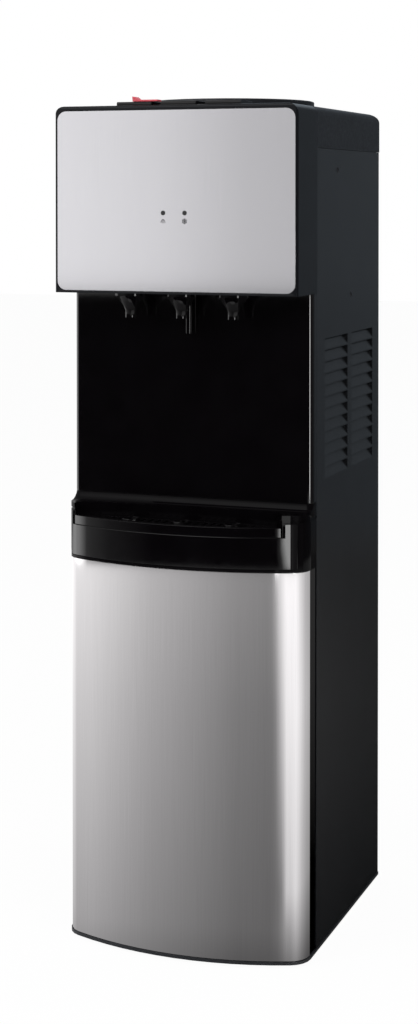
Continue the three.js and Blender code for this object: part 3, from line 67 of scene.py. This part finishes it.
# Camera, fitted to the photograph's perspective
PHOTO_HEIGHT_PX = 1024
FOCAL_PX = 1928.7325
SHIFT_PX = -282.4445
CAMERA_PLACE = (0.8297, -2.3221, 0.9174)
CAMERA_YAW = math.radians(20.1314)
CAMERA_PITCH = math.radians(-1.0)
SENSOR_MM = 36.0
NEAREST, FARTHEST = 0.05, 60.0


def add_camera():
    data = bpy.data.cameras.new("camera")
    data.sensor_fit = "AUTO"
    data.sensor_width = SENSOR_MM
    data.lens = FOCAL_PX / PHOTO_HEIGHT_PX * SENSOR_MM
    data.shift_y = SHIFT_PX / PHOTO_HEIGHT_PX
    data.clip_start, data.clip_end = NEAREST, FARTHEST
    camera = placed("camera", data)
    camera.location = CAMERA_PLACE
    camera.rotation_euler = (math.pi / 2 + CAMERA_PITCH, 0.0, CAMERA_YAW)
    bpy.context.scene.camera = camera


# Materials. Most of a noise's values lie between NOISE_LOW and NOISE_HIGH. A grain is a stretch
# that draws the pattern out along z.
NOISE_LOW, NOISE_HIGH = 0.3, 0.7
LONG_GRAIN = (1, 1, 0.006)
SHORT_GRAIN = (1, 1, 0.05)


class Shader:
    """A node material that is built up from patterns over the object's own coordinates."""

    def __init__(self, name):
        self.material = bpy.data.materials.new(name)
        self.material.use_nodes = True
        self.tree = self.material.node_tree
        self.bsdf = self.tree.nodes["Principled BSDF"]
        self.place = self.tree.nodes.new("ShaderNodeTexCoord").outputs["Object"]

    def add(self, kind, **values):
        """A node whose inputs have the given values; _ stands for a space in an input's name."""
        node = self.tree.nodes.new(kind)
        self.fill(node, values)
        return node

    def set(self, **values):
        self.fill(self.bsdf, values)

    @staticmethod
    def fill(node, values):
        for key, value in values.items():
            node.inputs[key.replace("_", " ")].default_value = value

    def link(self, a, b):
        self.tree.links.new(a, b)

    def stretched(self, stretch):
        mapping = self.add("ShaderNodeMapping", Scale=stretch)
        self.link(self.place, mapping.inputs["Vector"])
        return mapping.outputs["Vector"]

    def noise(self, scale, stretch=(1, 1, 1), detail=3.0, roughness=0.5):
        node = self.add("ShaderNodeTexNoise", Scale=scale, Detail=detail, Roughness=roughness)
        self.link(self.stretched(stretch), node.inputs["Vector"])
        return node.outputs["Fac"]

    def cells(self, scale, stretch=(1, 1, 1)):
        node = self.add("ShaderNodeTexVoronoi", Scale=scale)
        self.link(self.stretched(stretch), node.inputs["Vector"])
        return node.outputs["Color"]

    def colour(self, pattern, low, high, start=NOISE_LOW, end=NOISE_HIGH):
        """Base colour from low to high as the pattern goes from start to end."""
        node = self.add("ShaderNodeValToRGB")
        ramp = node.color_ramp
        ramp.elements[0].position, ramp.elements[1].position = start, end
        ramp.elements[0].color, ramp.elements[1].color = (*low, 1), (*high, 1)
        self.link(pattern, node.inputs["Fac"])
        self.link(node.outputs["Color"], self.bsdf.inputs["Base Color"])

    def roughness(self, pattern, low, high, start=NOISE_LOW, end=NOISE_HIGH):
        """Roughness from low to high as the pattern goes from start to end."""
        node = self.add("ShaderNodeMapRange", From_Min=start, From_Max=end, To_Min=low, To_Max=high)
        self.link(pattern, node.inputs["Value"])
        self.link(node.outputs["Result"], self.bsdf.inputs["Roughness"])

    def bump(self, pattern, strength, distance):
        node = self.add("ShaderNodeBump", Strength=strength, Distance=distance)
        self.link(pattern, node.inputs["Height"])
        self.link(node.outputs["Normal"], self.bsdf.inputs["Normal"])


def around(base, spread):
    """The two colours that lie a share of a base colour below it and above it."""
    return [c * (1 - spread) for c in base], [c * (1 + spread) for c in base]


def gloss_black(name, shine):
    s = Shader(name)
    s.colour(s.noise(30, detail=2), (0.0016, 0.0012, 0.0016), (0.0023, 0.0019, 0.0024))
    s.roughness(s.noise(120, detail=4), 0.025, 0.04)
    s.set(Specular_IOR_Level=shine)
    s.bump(s.noise(260, detail=2), strength=0.004, distance=0.0004)
    return s.material


def satin_black():
    s = Shader("satin_black")
    s.colour(s.noise(45), *around((0.0085, 0.0095, 0.0125), 0.2))
    s.roughness(s.noise(300, detail=4), 0.36, 0.48)
    s.set(Specular_IOR_Level=0.45)
    s.bump(s.noise(1700, detail=2), strength=0.22, distance=0.00012)
    return s.material


def bezel_black():
    s = Shader("bezel_black")
    s.colour(s.noise(45), *around((0.004, 0.0044, 0.0058), 0.2))
    s.roughness(s.noise(300, detail=4), 0.18, 0.24)
    s.set(Specular_IOR_Level=0.16)
    s.bump(s.noise(1700, detail=2), strength=0.012, distance=0.0001)
    return s.material


def painted_black():
    s = Shader("painted_black")
    s.colour(s.noise(28), *around((0.0066, 0.0072, 0.0086), 0.14))
    s.roughness(s.noise(220, detail=4), 0.18, 0.25)
    s.set(Specular_IOR_Level=0.4)
    s.bump(s.noise(520, detail=1.5), strength=0.12, distance=0.0003)
    return s.material


def rubber_black():
    s = Shader("rubber_black")
    s.colour(s.noise(160), *around((0.016, 0.016, 0.016), 0.2))
    s.roughness(s.noise(500), 0.66, 0.82)
    s.bump(s.noise(1400), strength=0.2, distance=0.0002)
    return s.material


def brushed_panel():
    s = Shader("brushed_panel")
    grain = s.noise(1500, LONG_GRAIN, detail=4, roughness=0.65)
    s.colour(grain, (0.564, 0.549, 0.556), (0.606, 0.59, 0.598))
    s.roughness(grain, 0.035, 0.055)
    s.set(Metallic=1.0)
    s.bump(grain, strength=0.005, distance=0.00002)
    return s.material


def fascia_metal():
    s = Shader("fascia_metal")
    grain = s.noise(1700, LONG_GRAIN, detail=4, roughness=0.6)
    s.colour(grain, (0.575, 0.567, 0.59), (0.605, 0.597, 0.62))
    s.roughness(grain, 0.07, 0.085)
    s.set(Metallic=0.8)
    s.bump(grain, strength=0.005, distance=0.00002)
    return s.material


def galvanised():
    s = Shader("galvanised_sheet")
    spangle = s.cells(110, stretch=(1, 1, 0.7))
    s.colour(spangle, (0.22, 0.23, 0.24), (0.34, 0.35, 0.36), start=0.2, end=0.8)
    s.roughness(spangle, 0.38, 0.52, start=0, end=1)
    s.set(Metallic=0.75)
    s.bump(s.noise(380, detail=2), strength=0.08, distance=0.0002)
    return s.material


def bare_steel():
    s = Shader("bare_steel")
    s.colour(s.noise(60), *around((0.5, 0.505, 0.51), 0.1))
    s.roughness(s.noise(700, SHORT_GRAIN), 0.2, 0.34)
    s.set(Metallic=1.0)
    s.bump(s.noise(900, SHORT_GRAIN), strength=0.06, distance=0.0001)
    return s.material


def copper():
    s = Shader("copper")
    s.colour(s.noise(70, detail=4), (0.42, 0.17, 0.09), (0.6, 0.27, 0.15))
    s.roughness(s.noise(260), 0.24, 0.42)
    s.set(Metallic=1.0)
    s.bump(s.noise(500), strength=0.05, distance=0.0002)
    return s.material


def silicone():
    s = Shader("silicone")
    s.colour(s.noise(60), (0.6, 0.58, 0.52), (0.7, 0.68, 0.62))
    s.roughness(s.noise(300), 0.38, 0.5)
    s.set(Subsurface_Weight=0.2, Subsurface_Scale=0.002)
    s.bump(s.noise(800), strength=0.06, distance=0.0002)
    return s.material


def foam():
    s = Shader("foam")
    s.colour(s.cells(420), (0.7, 0.67, 0.56), (0.8, 0.78, 0.69), start=0.1, end=0.9)
    s.roughness(s.noise(200), 0.8, 0.95)
    s.bump(s.noise(700, detail=4), strength=0.5, distance=0.0006)
    return s.material


def moulded(name, base, smoothest=0.26, roughest=0.36):
    s = Shader(name)
    s.colour(s.noise(90), *around(base, 0.07))
    s.roughness(s.noise(350), smoothest, roughest)
    s.bump(s.noise(900, detail=2), strength=0.06, distance=0.0002)
    return s.material


def screw_steel():
    s = Shader("screw_steel")
    s.colour(s.noise(500), (0.02, 0.02, 0.022), (0.045, 0.045, 0.05))
    s.roughness(s.noise(900), 0.28, 0.4)
    s.set(Metallic=0.6)
    s.bump(s.noise(1500), strength=0.08, distance=0.0001)
    return s.material


def printed_ink():
    s = Shader("printed_ink")
    s.colour(s.noise(700), (0.008, 0.008, 0.01), (0.016, 0.016, 0.018))
    s.roughness(s.noise(900), 0.45, 0.6)
    s.set(Specular_IOR_Level=0.2)
    s.bump(s.noise(2500), strength=0.1, distance=0.00005)
    return s.material


# A finish for each material slot of the record, and for the nodes that look unlike their slot
FINISHES = {
    "satin_black": satin_black(),
    "rubber_black": rubber_black(),
    "painted_black": painted_black(),
    "galvanised_sheet": galvanised(),
    "brushed_steel": brushed_panel(),
    "gloss_black": gloss_black("gloss_black", shine=0.5),
    "bare_steel": bare_steel(),
    "silicone": silicone(),
    "foam": foam(),
    "copper": copper(),
    "coral_red": moulded("coral_red", (0.6, 0.075, 0.1)),
    "lamp_clear": moulded("lamp_dark_lens", (0.012, 0.012, 0.013), smoothest=0.12, roughest=0.2),
    "rocker_red": moulded("rocker_red", (0.5, 0.02, 0.02)),
    "rocker_green": moulded("rocker_green", (0.02, 0.25, 0.05)),
}
DEEP_GLOSS = gloss_black("deep_gloss_black", shine=0.2)
NODE_FINISHES = {
    "fascia_plate": fascia_metal(),
    "head_fascia": bezel_black(),
    "tray_housing": gloss_black("dim_gloss_black", shine=0.06),
    "drip_grille": DEEP_GLOSS,
    "tap_hot": DEEP_GLOSS,
    "tap_ambient": DEEP_GLOSS,
    "tap_cold": DEEP_GLOSS,
    "key_hot": DEEP_GLOSS,
    "key_ambient": DEEP_GLOSS,
    "key_cold": DEEP_GLOSS,
    "vent_tube": DEEP_GLOSS,
}
INK, SCREW = printed_ink(), screw_steel()
SLOTS = {p["node"]: p["material_slot"] for p in frame["record"]["subparts"]}
BODY_OF = {n: b for b, nodes in frame["record"]["behaviour"]["bodies"].items() for n in nodes}


def finish_of(node):
    return NODE_FINISHES.get(node) or FINISHES[SLOTS[node]]


def wear(obj, material):
    obj.data.materials.clear()
    obj.data.materials.append(material)


for node, solid in frame["nodes"].items():
    wear(solid, finish_of(node))


# Pieces
def new_piece(name, mesh, material, body=None):
    obj = placed(name, mesh)
    wear(obj, material)
    if body:
        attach(obj, body)
    return obj


def from_bmesh(name, bm):
    mesh = bpy.data.meshes.new(name)
    bm.to_mesh(mesh)
    bm.free()
    return mesh


def bridge(bm, low, high):
    """A band of four-sided faces between two closed rows of vertices."""
    for i in range(len(low)):
        j = (i + 1) % len(low)
        bm.faces.new((low[i], low[j], high[j], high[i]))


# Dressed nodes, with the width of their broken edges in millimetres. A width of 0 leaves the
# edges as they are. The other nodes show as the CAD has them.
WELD_DISTANCE = 2e-6
FLAT_ANGLE = math.radians(0.6)
EDGE_ANGLE = math.radians(28)
EDGE_STEPS = 2
EDGE_WIDTHS = {
    "lower_front_panel": 0.5, "tray_front_cover": 0.8, "tray_housing": 0.7, "head_fascia": 0.6,
    "fascia_plate": 0.25, "niche_panel": 0.6, "top_cover": 0.8, "side_panel_right": 0,
    "side_panel_left": 0, "rear_panel": 0, "bottle_collar": 0.5, "base_pan": 0.5,
    "drip_tray": 0.4, "drip_grille": 0.3, "tap_hot": 0.4, "tap_ambient": 0.4, "tap_cold": 0.4,
    "key_hot": 0.5, "key_ambient": 0.5, "key_cold": 0.5, "child_lock": 0.3, "compressor": 0.5,
    "relay_cover": 0.4, "switch_block": 0.3, "rocker_heat": 0.25, "rocker_cool": 0.25,
    "cord_gland": 0.3, "drain_cap": 0.3, "vent_tube": 0.2, "lamp_heat": 0.15, "lamp_cool": 0.15,
    "foot_front_left": 0.4, "foot_front_right": 0.4, "foot_rear_left": 0.4,
    "foot_rear_right": 0.4, "hot_tank": 0, "cold_tank": 0, "condenser": 0, "filter_drier": 0,
    "suction_pipe": 0, "discharge_pipe": 0, "evaporator": 0, "insulation": 0, "hose_hot": 0,
    "hose_ambient": 0, "hose_cold": 0, "feed_pipe": 0, "spring_hot": 0, "spring_ambient": 0,
    "spring_cold": 0, "stem_hot": 0, "stem_ambient": 0, "stem_cold": 0,
}


def dressed(node, edge_width):
    """The node's form with welded corners, smooth curves and softly broken edges.

    A spring rides no body; its place is baked into its mesh. Any other piece rides its body.
    """
    bm = bmesh.new()
    bm.from_mesh(frame["nodes"][node].data)
    bmesh.ops.remove_doubles(bm, verts=bm.verts, dist=WELD_DISTANCE)
    bmesh.ops.dissolve_limit(bm, angle_limit=FLAT_ANGLE, verts=bm.verts, edges=bm.edges)
    mesh = from_bmesh(node + "_form", bm)
    mesh.polygons.foreach_set("use_smooth", [True] * len(mesh.polygons))
    mesh.set_sharp_from_angle(angle=EDGE_ANGLE)
    shortens = node.startswith("spring_")
    body = None if shortens else BODY_OF[node]
    piece = new_piece(node + "_form", mesh, finish_of(node), body)
    if edge_width:
        soften = piece.modifiers.new("edges", "BEVEL")
        soften.width = edge_width * MM
        soften.segments = EDGE_STEPS
        soften.limit_method = "ANGLE"
        soften.angle_limit = EDGE_ANGLE
        soften.harden_normals = True
        soften.use_clamp_overlap = True
    if shortens:
        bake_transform(piece)
    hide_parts(node)


for node, edge_width in EDGE_WIDTHS.items():
    dressed(node, edge_width)


# Signs below the lamps: a flame of three tongues and a snow star, both plain. Their outlines are
# in millimetres round the sign's middle.
SIGN_X, SIGN_Z = 0.0137, 0.8872
SIGN_DEPTH = 0.00018


def flat_sign(name, outlines, place_x, face_y):
    """Thin plates that stand a little out of the face."""
    bm = bmesh.new()
    for outline in outlines:
        front, back = (
            [bm.verts.new((place_x + x * MM, y, SIGN_Z + z * MM)) for x, z in outline]
            for y in (face_y - SIGN_DEPTH, face_y + SIGN_DEPTH)
        )
        bm.faces.new(front)
        bm.faces.new(back[::-1])
        bridge(bm, back, front)
    bmesh.ops.recalc_face_normals(bm, faces=bm.faces)
    return from_bmesh(name, bm)


def bar(ax, az, bx, bz, half):
    """The outline of a straight bar from a to b."""
    length = math.hypot(bx - ax, bz - az)
    nx, nz = -(bz - az) / length * half, (bx - ax) / length * half
    return [(ax + nx, az + nz), (ax - nx, az - nz), (bx - nx, bz - nz), (bx + nx, bz + nz)]


def star_outlines(reach=3.5, half=0.36, fork_share=0.55, twig=1.35, twig_turn=52, twig_share=0.9):
    """Six arms that fork into two twigs each; a twig's half width is a share of the arm's."""
    bars = []
    for k in range(6):
        a = math.radians(30 + 60 * k)
        tip_x, tip_z = reach * math.cos(a), reach * math.sin(a)
        bars.append(bar(0, 0, tip_x, tip_z, half))
        x, z = tip_x * fork_share, tip_z * fork_share
        for turn in (-twig_turn, twig_turn):
            b = a + math.radians(turn)
            end_x, end_z = x + twig * math.cos(b), z + twig * math.sin(b)
            bars.append(bar(x, z, end_x, end_z, half * twig_share))
    return bars


def heat_outlines(half=0.32):
    """A tongue of flame between two that lean outwards."""
    waist, belly = half * 1.3, half * 1.5
    tongue = [(0, 2.9), (waist, 1.0), (belly, -1.6), (0, -2.9), (-belly, -1.6), (-waist, 1.0)]
    lean = [(0.55, 2.1), (1.6, 1.1), (2.3, -0.3), (2.6, -2.0)]
    bars = [tongue]
    for side in (-1, 1):
        for (ax, az), (bx, bz) in zip(lean, lean[1:]):
            bars.append(bar(side * ax, az, side * bx, bz, half))
    return bars


plate_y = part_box("fascia_plate")[0][1]
for name, x, outlines in (("sign_heat", -SIGN_X, heat_outlines()),
                          ("sign_cool", SIGN_X, star_outlines())):
    new_piece(name, flat_sign(name, outlines, x, plate_y), INK, "cabinet")


# Screws: low domed heads with a cross recess, in millimetres. The dome's steps are shares of the
# radius and of the height. The side screws are given by (word, y, z), the rear ones by (x, z).
SCREW_RADIUS, SCREW_HEIGHT, SCREW_STEPS = 3.3, 0.75, 24
SCREW_DOME = ((1.0, 0.0), (1.0, 0.3), (0.93, 0.6), (0.8, 0.85), (0.68, 1.0))
CROSS_REACH, CROSS_HALF, CROSS_DEPTH = 1.9, 0.5, 0.5
SIDE_SCREWS = (("top", -13.6, 949.6), ("middle", 46.5, 792.0))
REAR_SCREWS = ((-130, 963), (0, 963), (130, 963), (128, 309), (0, 309))
REAR_SUNK = 0.3


def cross_corners():
    """The cross recess from above, as twelve corners in order."""
    arm = ((CROSS_REACH, -CROSS_HALF), (CROSS_REACH, CROSS_HALF), (CROSS_HALF, CROSS_HALF))
    corners = []
    for k in range(4):
        a = math.tau * k / 4
        for u, v in arm:
            corners.append((u * math.cos(a) - v * math.sin(a), u * math.sin(a) + v * math.cos(a)))
    return corners


def closed_pairs(row):
    return list(zip(row, row[1:] + row[:1]))


def screw_head(name, place, outward):
    bm = bmesh.new()
    turns = [math.tau * i / SCREW_STEPS for i in range(SCREW_STEPS)]
    rings = []
    for share, lift in SCREW_DOME:
        radius, z = SCREW_RADIUS * share, SCREW_HEIGHT * lift
        rings.append([bm.verts.new((radius * math.cos(t), radius * math.sin(t), z)) for t in turns])
    for low, high in zip(rings, rings[1:]):
        bridge(bm, low, high)
    bm.faces.new(rings[0][::-1])
    corners = cross_corners()
    lip = [bm.verts.new((x, y, SCREW_HEIGHT)) for x, y in corners]
    floor = [bm.verts.new((x, y, SCREW_HEIGHT - CROSS_DEPTH)) for x, y in corners]
    rim = [bm.edges.new(pair) for pair in closed_pairs(lip)]
    rim += [bm.edges.get(pair) for pair in closed_pairs(rings[-1])]
    bmesh.ops.triangle_fill(bm, edges=rim, use_beauty=True)
    bridge(bm, lip, floor)
    bm.faces.new(floor)
    bmesh.ops.recalc_face_normals(bm, faces=bm.faces)
    turn = Vector((0, 0, 1)).rotation_difference(Vector(outward)).to_matrix().to_4x4()
    bm.transform(Matrix.Translation(Vector(place) * MM) @ turn @ Matrix.Scale(MM, 4))
    new_piece(name, from_bmesh(name, bm), SCREW, "cabinet")


side_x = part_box("side_panel_right")[1][0] / MM
rear_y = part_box("drain_cap")[0][1] / MM - REAR_SUNK
for side, hand in ((-1, "left"), (1, "right")):
    for word, y, z in SIDE_SCREWS:
        screw_head(f"screw_{hand}_{word}", (side * side_x, y, z), (side, 0, 0))
for i, (x, z) in enumerate(REAR_SCREWS, 1):
    screw_head(f"screw_rear_{i}", (x, rear_y, z), (0, 1, 0))


# Stage: a soft world and a pale floor that look white to the camera, three soft lamps, and a tent
# that the object's gloss reflects
WORLD_COLOUR, WORLD_STRENGTH = (0.97, 0.98, 1.0, 1), 0.42
FLOOR_COLOUR, FLOOR_ROUGHNESS = (0.86, 0.86, 0.86, 1), 0.9
FLOOR_SIZE = 14.0
FLOOR_WHITENESS = 0.965


def camera_or_mirror(tree):
    """1 on rays from the camera and on rays reflected or let through, 0 on others."""
    path = tree.nodes.new("ShaderNodeLightPath")
    total = path.outputs["Is Camera Ray"]
    for name in ("Is Glossy Ray", "Is Transmission Ray"):
        node = tree.nodes.new("ShaderNodeMath")
        node.operation = "MAXIMUM"
        tree.links.new(total, node.inputs[0])
        tree.links.new(path.outputs[name], node.inputs[1])
        total = node.outputs[0]
    return total


def glowing(tree, kind, colour, strength=1.0):
    node = tree.nodes.new(kind)
    node.inputs["Color"].default_value = colour
    node.inputs["Strength"].default_value = strength
    return node


def mixed(tree, share, first, second):
    """Two shaders mixed by the second one's share."""
    mix = tree.nodes.new("ShaderNodeMixShader")
    tree.links.new(share, mix.inputs["Fac"])
    tree.links.new(first.outputs[0], mix.inputs[1])
    tree.links.new(second.outputs[0], mix.inputs[2])
    return mix.outputs[0]


def add_world():
    world = bpy.data.worlds.new("studio")
    bpy.context.scene.world = world
    world.use_nodes = True
    tree = world.node_tree
    tree.nodes.clear()
    soft = glowing(tree, "ShaderNodeBackground", WORLD_COLOUR, WORLD_STRENGTH)
    white = glowing(tree, "ShaderNodeBackground", WHITE)
    out = tree.nodes.new("ShaderNodeOutputWorld")
    tree.links.new(mixed(tree, camera_or_mirror(tree), soft, white), out.inputs["Surface"])


def add_floor():
    bm = bmesh.new()
    bmesh.ops.create_grid(bm, x_segments=1, y_segments=1, size=FLOOR_SIZE)
    floor = placed("floor", from_bmesh("floor", bm))
    material = bpy.data.materials.new("floor_white")
    material.use_nodes = True
    tree = material.node_tree
    bsdf = tree.nodes["Principled BSDF"]
    bsdf.inputs["Base Color"].default_value = FLOOR_COLOUR
    bsdf.inputs["Roughness"].default_value = FLOOR_ROUGHNESS
    bsdf.inputs["Specular IOR Level"].default_value = 0.0
    glow = glowing(tree, "ShaderNodeEmission", WHITE)
    share = tree.nodes.new("ShaderNodeMath")
    share.operation = "MULTIPLY"
    share.inputs[1].default_value = FLOOR_WHITENESS
    tree.links.new(camera_or_mirror(tree), share.inputs[0])
    surface = mixed(tree, share.outputs[0], bsdf, glow)
    tree.links.new(surface, tree.nodes["Material Output"].inputs["Surface"])
    wear(floor, material)
    floor.visible_glossy = False


# The tent: a round of light cards, seen only in the object's reflections, as a photographer sets
# boxes and flags. Each row is an elevation in degrees with points of (azimuth, level). Azimuth 0
# is to the front and 90 to the object's right. The rows hold a wide box on the left, a flag
# ahead, a strip on the right, a flag behind the right side, and a high box ahead. The tray
# housing reflects the rows with TRAY_STRIPS, and the niche those with NICHE_STRIPS.
TRAY_STRIPS = [
    (-180, 0.3), (-115, 0.5), (-88, 2.8), (-72, 2.8), (-64, 0.5), (-50, 0.16), (-30, 0.0),
    (21, 0.0), (22, 0.4), (23.5, 6.4), (24.5, 6.4), (25.5, 1.8), (32, 0.3), (48, 0.3), (60, 0.9),
    (70, 0.3), (90, 0.1),
]
NICHE_STRIPS = [
    (-180, 0.3), (-115, 0.4), (-88, 3.0), (-80, 3.0), (-76, 0.2), (-50, 0.02), (-30, 0.01),
    (14, 0.01), (44, 0.01), (47, 16.0), (54, 16.0), (57, 0.1),
]
TENT = [
    (-36, [(-180, 0.4), (-140, 0.6), (-60, 0.5), (-30, 0.45), (60, 0.45), (140, 0.4), (152, 0.1),
           (157, 0.0), (172, 0.0)]),
    (-29.5, [(-180, 0.3), (-140, 0.5), (-85, 0.4), (-30, 0.25), (6, 0.12), (60, 0.12),
             (140, 0.12), (152, 0.06), (157, 0.0), (172, 0.0)]),
    (-27.4, [(-180, 0.3), (-140, 0.7), (-100, 0.75), (-85, 0.6), (-60, 0.6), (-30, 0.4),
             (6, 0.23), (19, 0.21), (25, 0.27), (27.6, 0.36), (30.8, 0.52), (56, 0.72),
             (69, 0.66), (89, 0.5), (140, 0.3), (152, 0.12), (157, 0.0), (172, 0.0)]),
    (-25.8, [(-180, 0.3), (-140, 0.8), (-100, 0.85), (-85, 0.67), (-60, 0.67), (-30, 0.44),
             (6, 0.25), (19, 0.22), (22.4, 0.24), (25, 0.28), (27.6, 0.38), (29.2, 0.6),
             (31, 0.98), (56, 1.18), (69, 1.05), (89, 0.78), (112, 0.62), (140, 0.46),
             (152, 0.3), (157, 0.0), (172, 0.0)]),
    (-18.2, [(-180, 0.3), (-140, 1.2), (-100, 1.25), (-85, 1.0), (-60, 0.98), (-30, 0.63),
             (6, 0.335), (18, 0.295), (20.5, 0.31), (23.2, 0.4), (25.5, 0.66), (27.6, 0.94),
             (29.2, 1.16), (31, 1.44), (60, 1.52), (74, 1.38), (92, 1.1), (112, 0.86),
             (140, 0.7), (153, 0.6), (157.5, 0.03), (172, 0.02)]),
    (-12.9, [(-180, 0.3), (-140, 1.5), (-100, 1.55), (-85, 1.3), (-60, 1.26), (-30, 0.785),
             (6, 0.45), (18, 0.4), (20, 0.43), (22.8, 0.64), (25, 1.0), (27.1, 1.3), (29, 1.52),
             (30.6, 1.68), (56, 1.68), (69, 1.45), (89, 1.08), (112, 0.8), (140, 0.62),
             (152, 0.5), (157, 0.04), (172, 0.03)]),
    (-12.3, [(-180, 0.3), (-140, 1.5), (-100, 1.55), (-85, 1.33), (-60, 1.29), (-30, 0.8),
             (6, 0.46), (18, 0.41), (20, 0.44), (22.8, 0.66), (25, 1.0), (27.1, 1.3), (29, 1.52),
             (30.6, 1.68), (56, 1.68), (69, 1.45), (89, 1.08), (112, 0.8), (140, 0.62),
             (152, 0.5), (157, 0.05), (172, 0.04)]),
    (-12.1, TRAY_STRIPS + [(150, 0.07), (172, 0.06)]),
    (-9.6, TRAY_STRIPS + [(150, 0.08), (172, 0.07)]),
    (-8.8, NICHE_STRIPS + [(110, 0.1), (150, 0.08), (172, 0.07)]),
    (-0.1, NICHE_STRIPS + [(110, 0.15), (150, 0.12), (172, 0.1)]),
    (0.2, [(-180, 0.3), (-115, 0.5), (-80, 0.9), (-60, 1.1), (-26, 1.28), (-21, 1.08),
           (-17, 0.77), (0, 0.36), (26, 0.3), (58, 0.3), (110, 0.2), (150, 0.13), (172, 0.12)]),
    (9, [(-180, 0.3), (-115, 0.5), (-80, 0.9), (-60, 1.1), (-26, 1.22), (-21, 1.02),
         (-17, 0.7), (0, 0.36), (26, 0.3), (58, 0.3), (110, 0.2), (150, 0.14), (172, 0.13)]),
    (26, [(-180, 0.4), (-110, 0.6), (-60, 1.0), (-28, 2.4), (-8, 2.4), (10, 0.3), (60, 0.1),
          (100, 0.15), (150, 0.1), (172, 0.1)]),
    (66, [(-180, 0.4), (-110, 0.5), (-60, 1.0), (-28, 2.4), (-8, 2.4), (10, 0.3), (60, 0.1),
          (110, 0.2)]),
    (76, [(-180, 0.4), (-110, 0.4), (-40, 0.1), (60, 0.1), (110, 0.2)]),
    (90, [(-180, 0.3)]),
]
TENT_RADIUS, TENT_MIDDLE_Z = 4.0, 0.6
TENT_STEPS = 720
TENT_CAP_LEVEL = 0.3
# Elevations of the tent's other rings, between the rows' own
TENT_BETWEEN = [-75, -60, -48, -26.6, -24.5, -22, -20, -16, -14, -11, -10, -7, -5, -3, -1]
TENT_BETWEEN += [1, 3, 5, 7, 12, 16, 20, 36, 46, 56, 71, 83]
# The cards at these azimuths, behind the right side, are a little blue above this elevation
COOL_SHARE, COOL_AZIMUTHS, COOL_ABOVE = 0.12, (120, 200), -12


def row_level(points, azimuth):
    """The level along one row, which closes on itself."""
    ring = points + [(points[0][0] + 360, points[0][1])]
    (a0, v0), (a1, v1) = next(pair for pair in zip(ring, ring[1:]) if azimuth <= pair[1][0])
    return v0 + (v1 - v0) * (azimuth - a0) / (a1 - a0)


def tent_level(azimuth, elevation):
    """The level between the two rows that an elevation lies between."""
    azimuth = (azimuth + 180) % 360 - 180
    elevation = max(elevation, TENT[0][0])
    (e0, low), (e1, high) = next(pair for pair in zip(TENT, TENT[1:]) if elevation <= pair[1][0])
    share = (elevation - e0) / (e1 - e0)
    return row_level(low, azimuth) * (1 - share) + row_level(high, azimuth) * share


def card_colour(azimuth, elevation):
    level = tent_level(azimuth, elevation)
    is_cool = COOL_AZIMUTHS[0] < azimuth < COOL_AZIMUTHS[1] and elevation > COOL_ABOVE
    cool = COOL_SHARE if is_cool else 0.0
    return (level * (1 - cool), level, level * (1 + cool), 1)


def tent_mesh():
    bm = bmesh.new()
    shade = bm.loops.layers.float_color.new("level")
    elevations = sorted([elevation for elevation, points in TENT[:-1]] + TENT_BETWEEN)
    rings = []
    for elevation in elevations:
        e = math.radians(elevation)
        rings.append([bm.verts.new((
            TENT_RADIUS * math.cos(e) * math.sin(math.tau * i / TENT_STEPS),
            -TENT_RADIUS * math.cos(e) * math.cos(math.tau * i / TENT_STEPS),
            TENT_MIDDLE_Z + TENT_RADIUS * math.sin(e),
        )) for i in range(TENT_STEPS)])
    for j in range(len(rings) - 1):
        for i in range(TENT_STEPS):
            k = (i + 1) % TENT_STEPS
            face = bm.faces.new((rings[j][i], rings[j][k], rings[j + 1][k], rings[j + 1][i]))
            corners = ((i, j), (i + 1, j), (i + 1, j + 1), (i, j + 1))
            for loop, (step, ring) in zip(face.loops, corners):
                loop[shade] = card_colour(360 * step / TENT_STEPS, elevations[ring])
    cap = bm.faces.new(rings[-1])
    for loop in cap.loops:
        loop[shade] = (TENT_CAP_LEVEL, TENT_CAP_LEVEL, TENT_CAP_LEVEL, 1)
    return from_bmesh("tent", bm)


def add_tent():
    tent = placed("tent", tent_mesh())
    material = bpy.data.materials.new("tent_cards")
    material.use_nodes = True
    tree = material.node_tree
    tree.nodes.clear()
    colour = tree.nodes.new("ShaderNodeVertexColor")
    colour.layer_name = "level"
    glow = tree.nodes.new("ShaderNodeEmission")
    out = tree.nodes.new("ShaderNodeOutputMaterial")
    tree.links.new(colour.outputs["Color"], glow.inputs["Color"])
    tree.links.new(glow.outputs[0], out.inputs["Surface"])
    wear(tent, material)
    tent.visible_camera = False
    tent.visible_diffuse = False
    tent.visible_shadow = False
    tent.visible_transmission = False
    tent.visible_volume_scatter = False


def add_lamp(name, place, target, size, power):
    """A square soft lamp, kept out of reflections, which are the tent's."""
    data = bpy.data.lights.new(name, "AREA")
    data.size = size
    data.energy = power
    lamp = placed(name, data)
    lamp.location = place
    lamp.rotation_euler = (Vector(target) - Vector(place)).to_track_quat("-Z", "Y").to_euler()
    lamp.visible_glossy = False


add_world()
add_floor()
add_tent()
add_lamp("key_left", place=(-1.9, -2.6, 2.2), target=(0, 0, 0.6), size=1.6, power=55)
add_lamp("fill_right", place=(1.7, -1.3, 2.3), target=(0, 0, 0.9), size=1.4, power=20)
add_lamp("top_soft", place=(0.0, -0.3, 3.0), target=(0, 0, 0.9), size=1.8, power=30)
add_camera()

scene = bpy.context.scene
scene.view_settings.view_transform = "Standard"
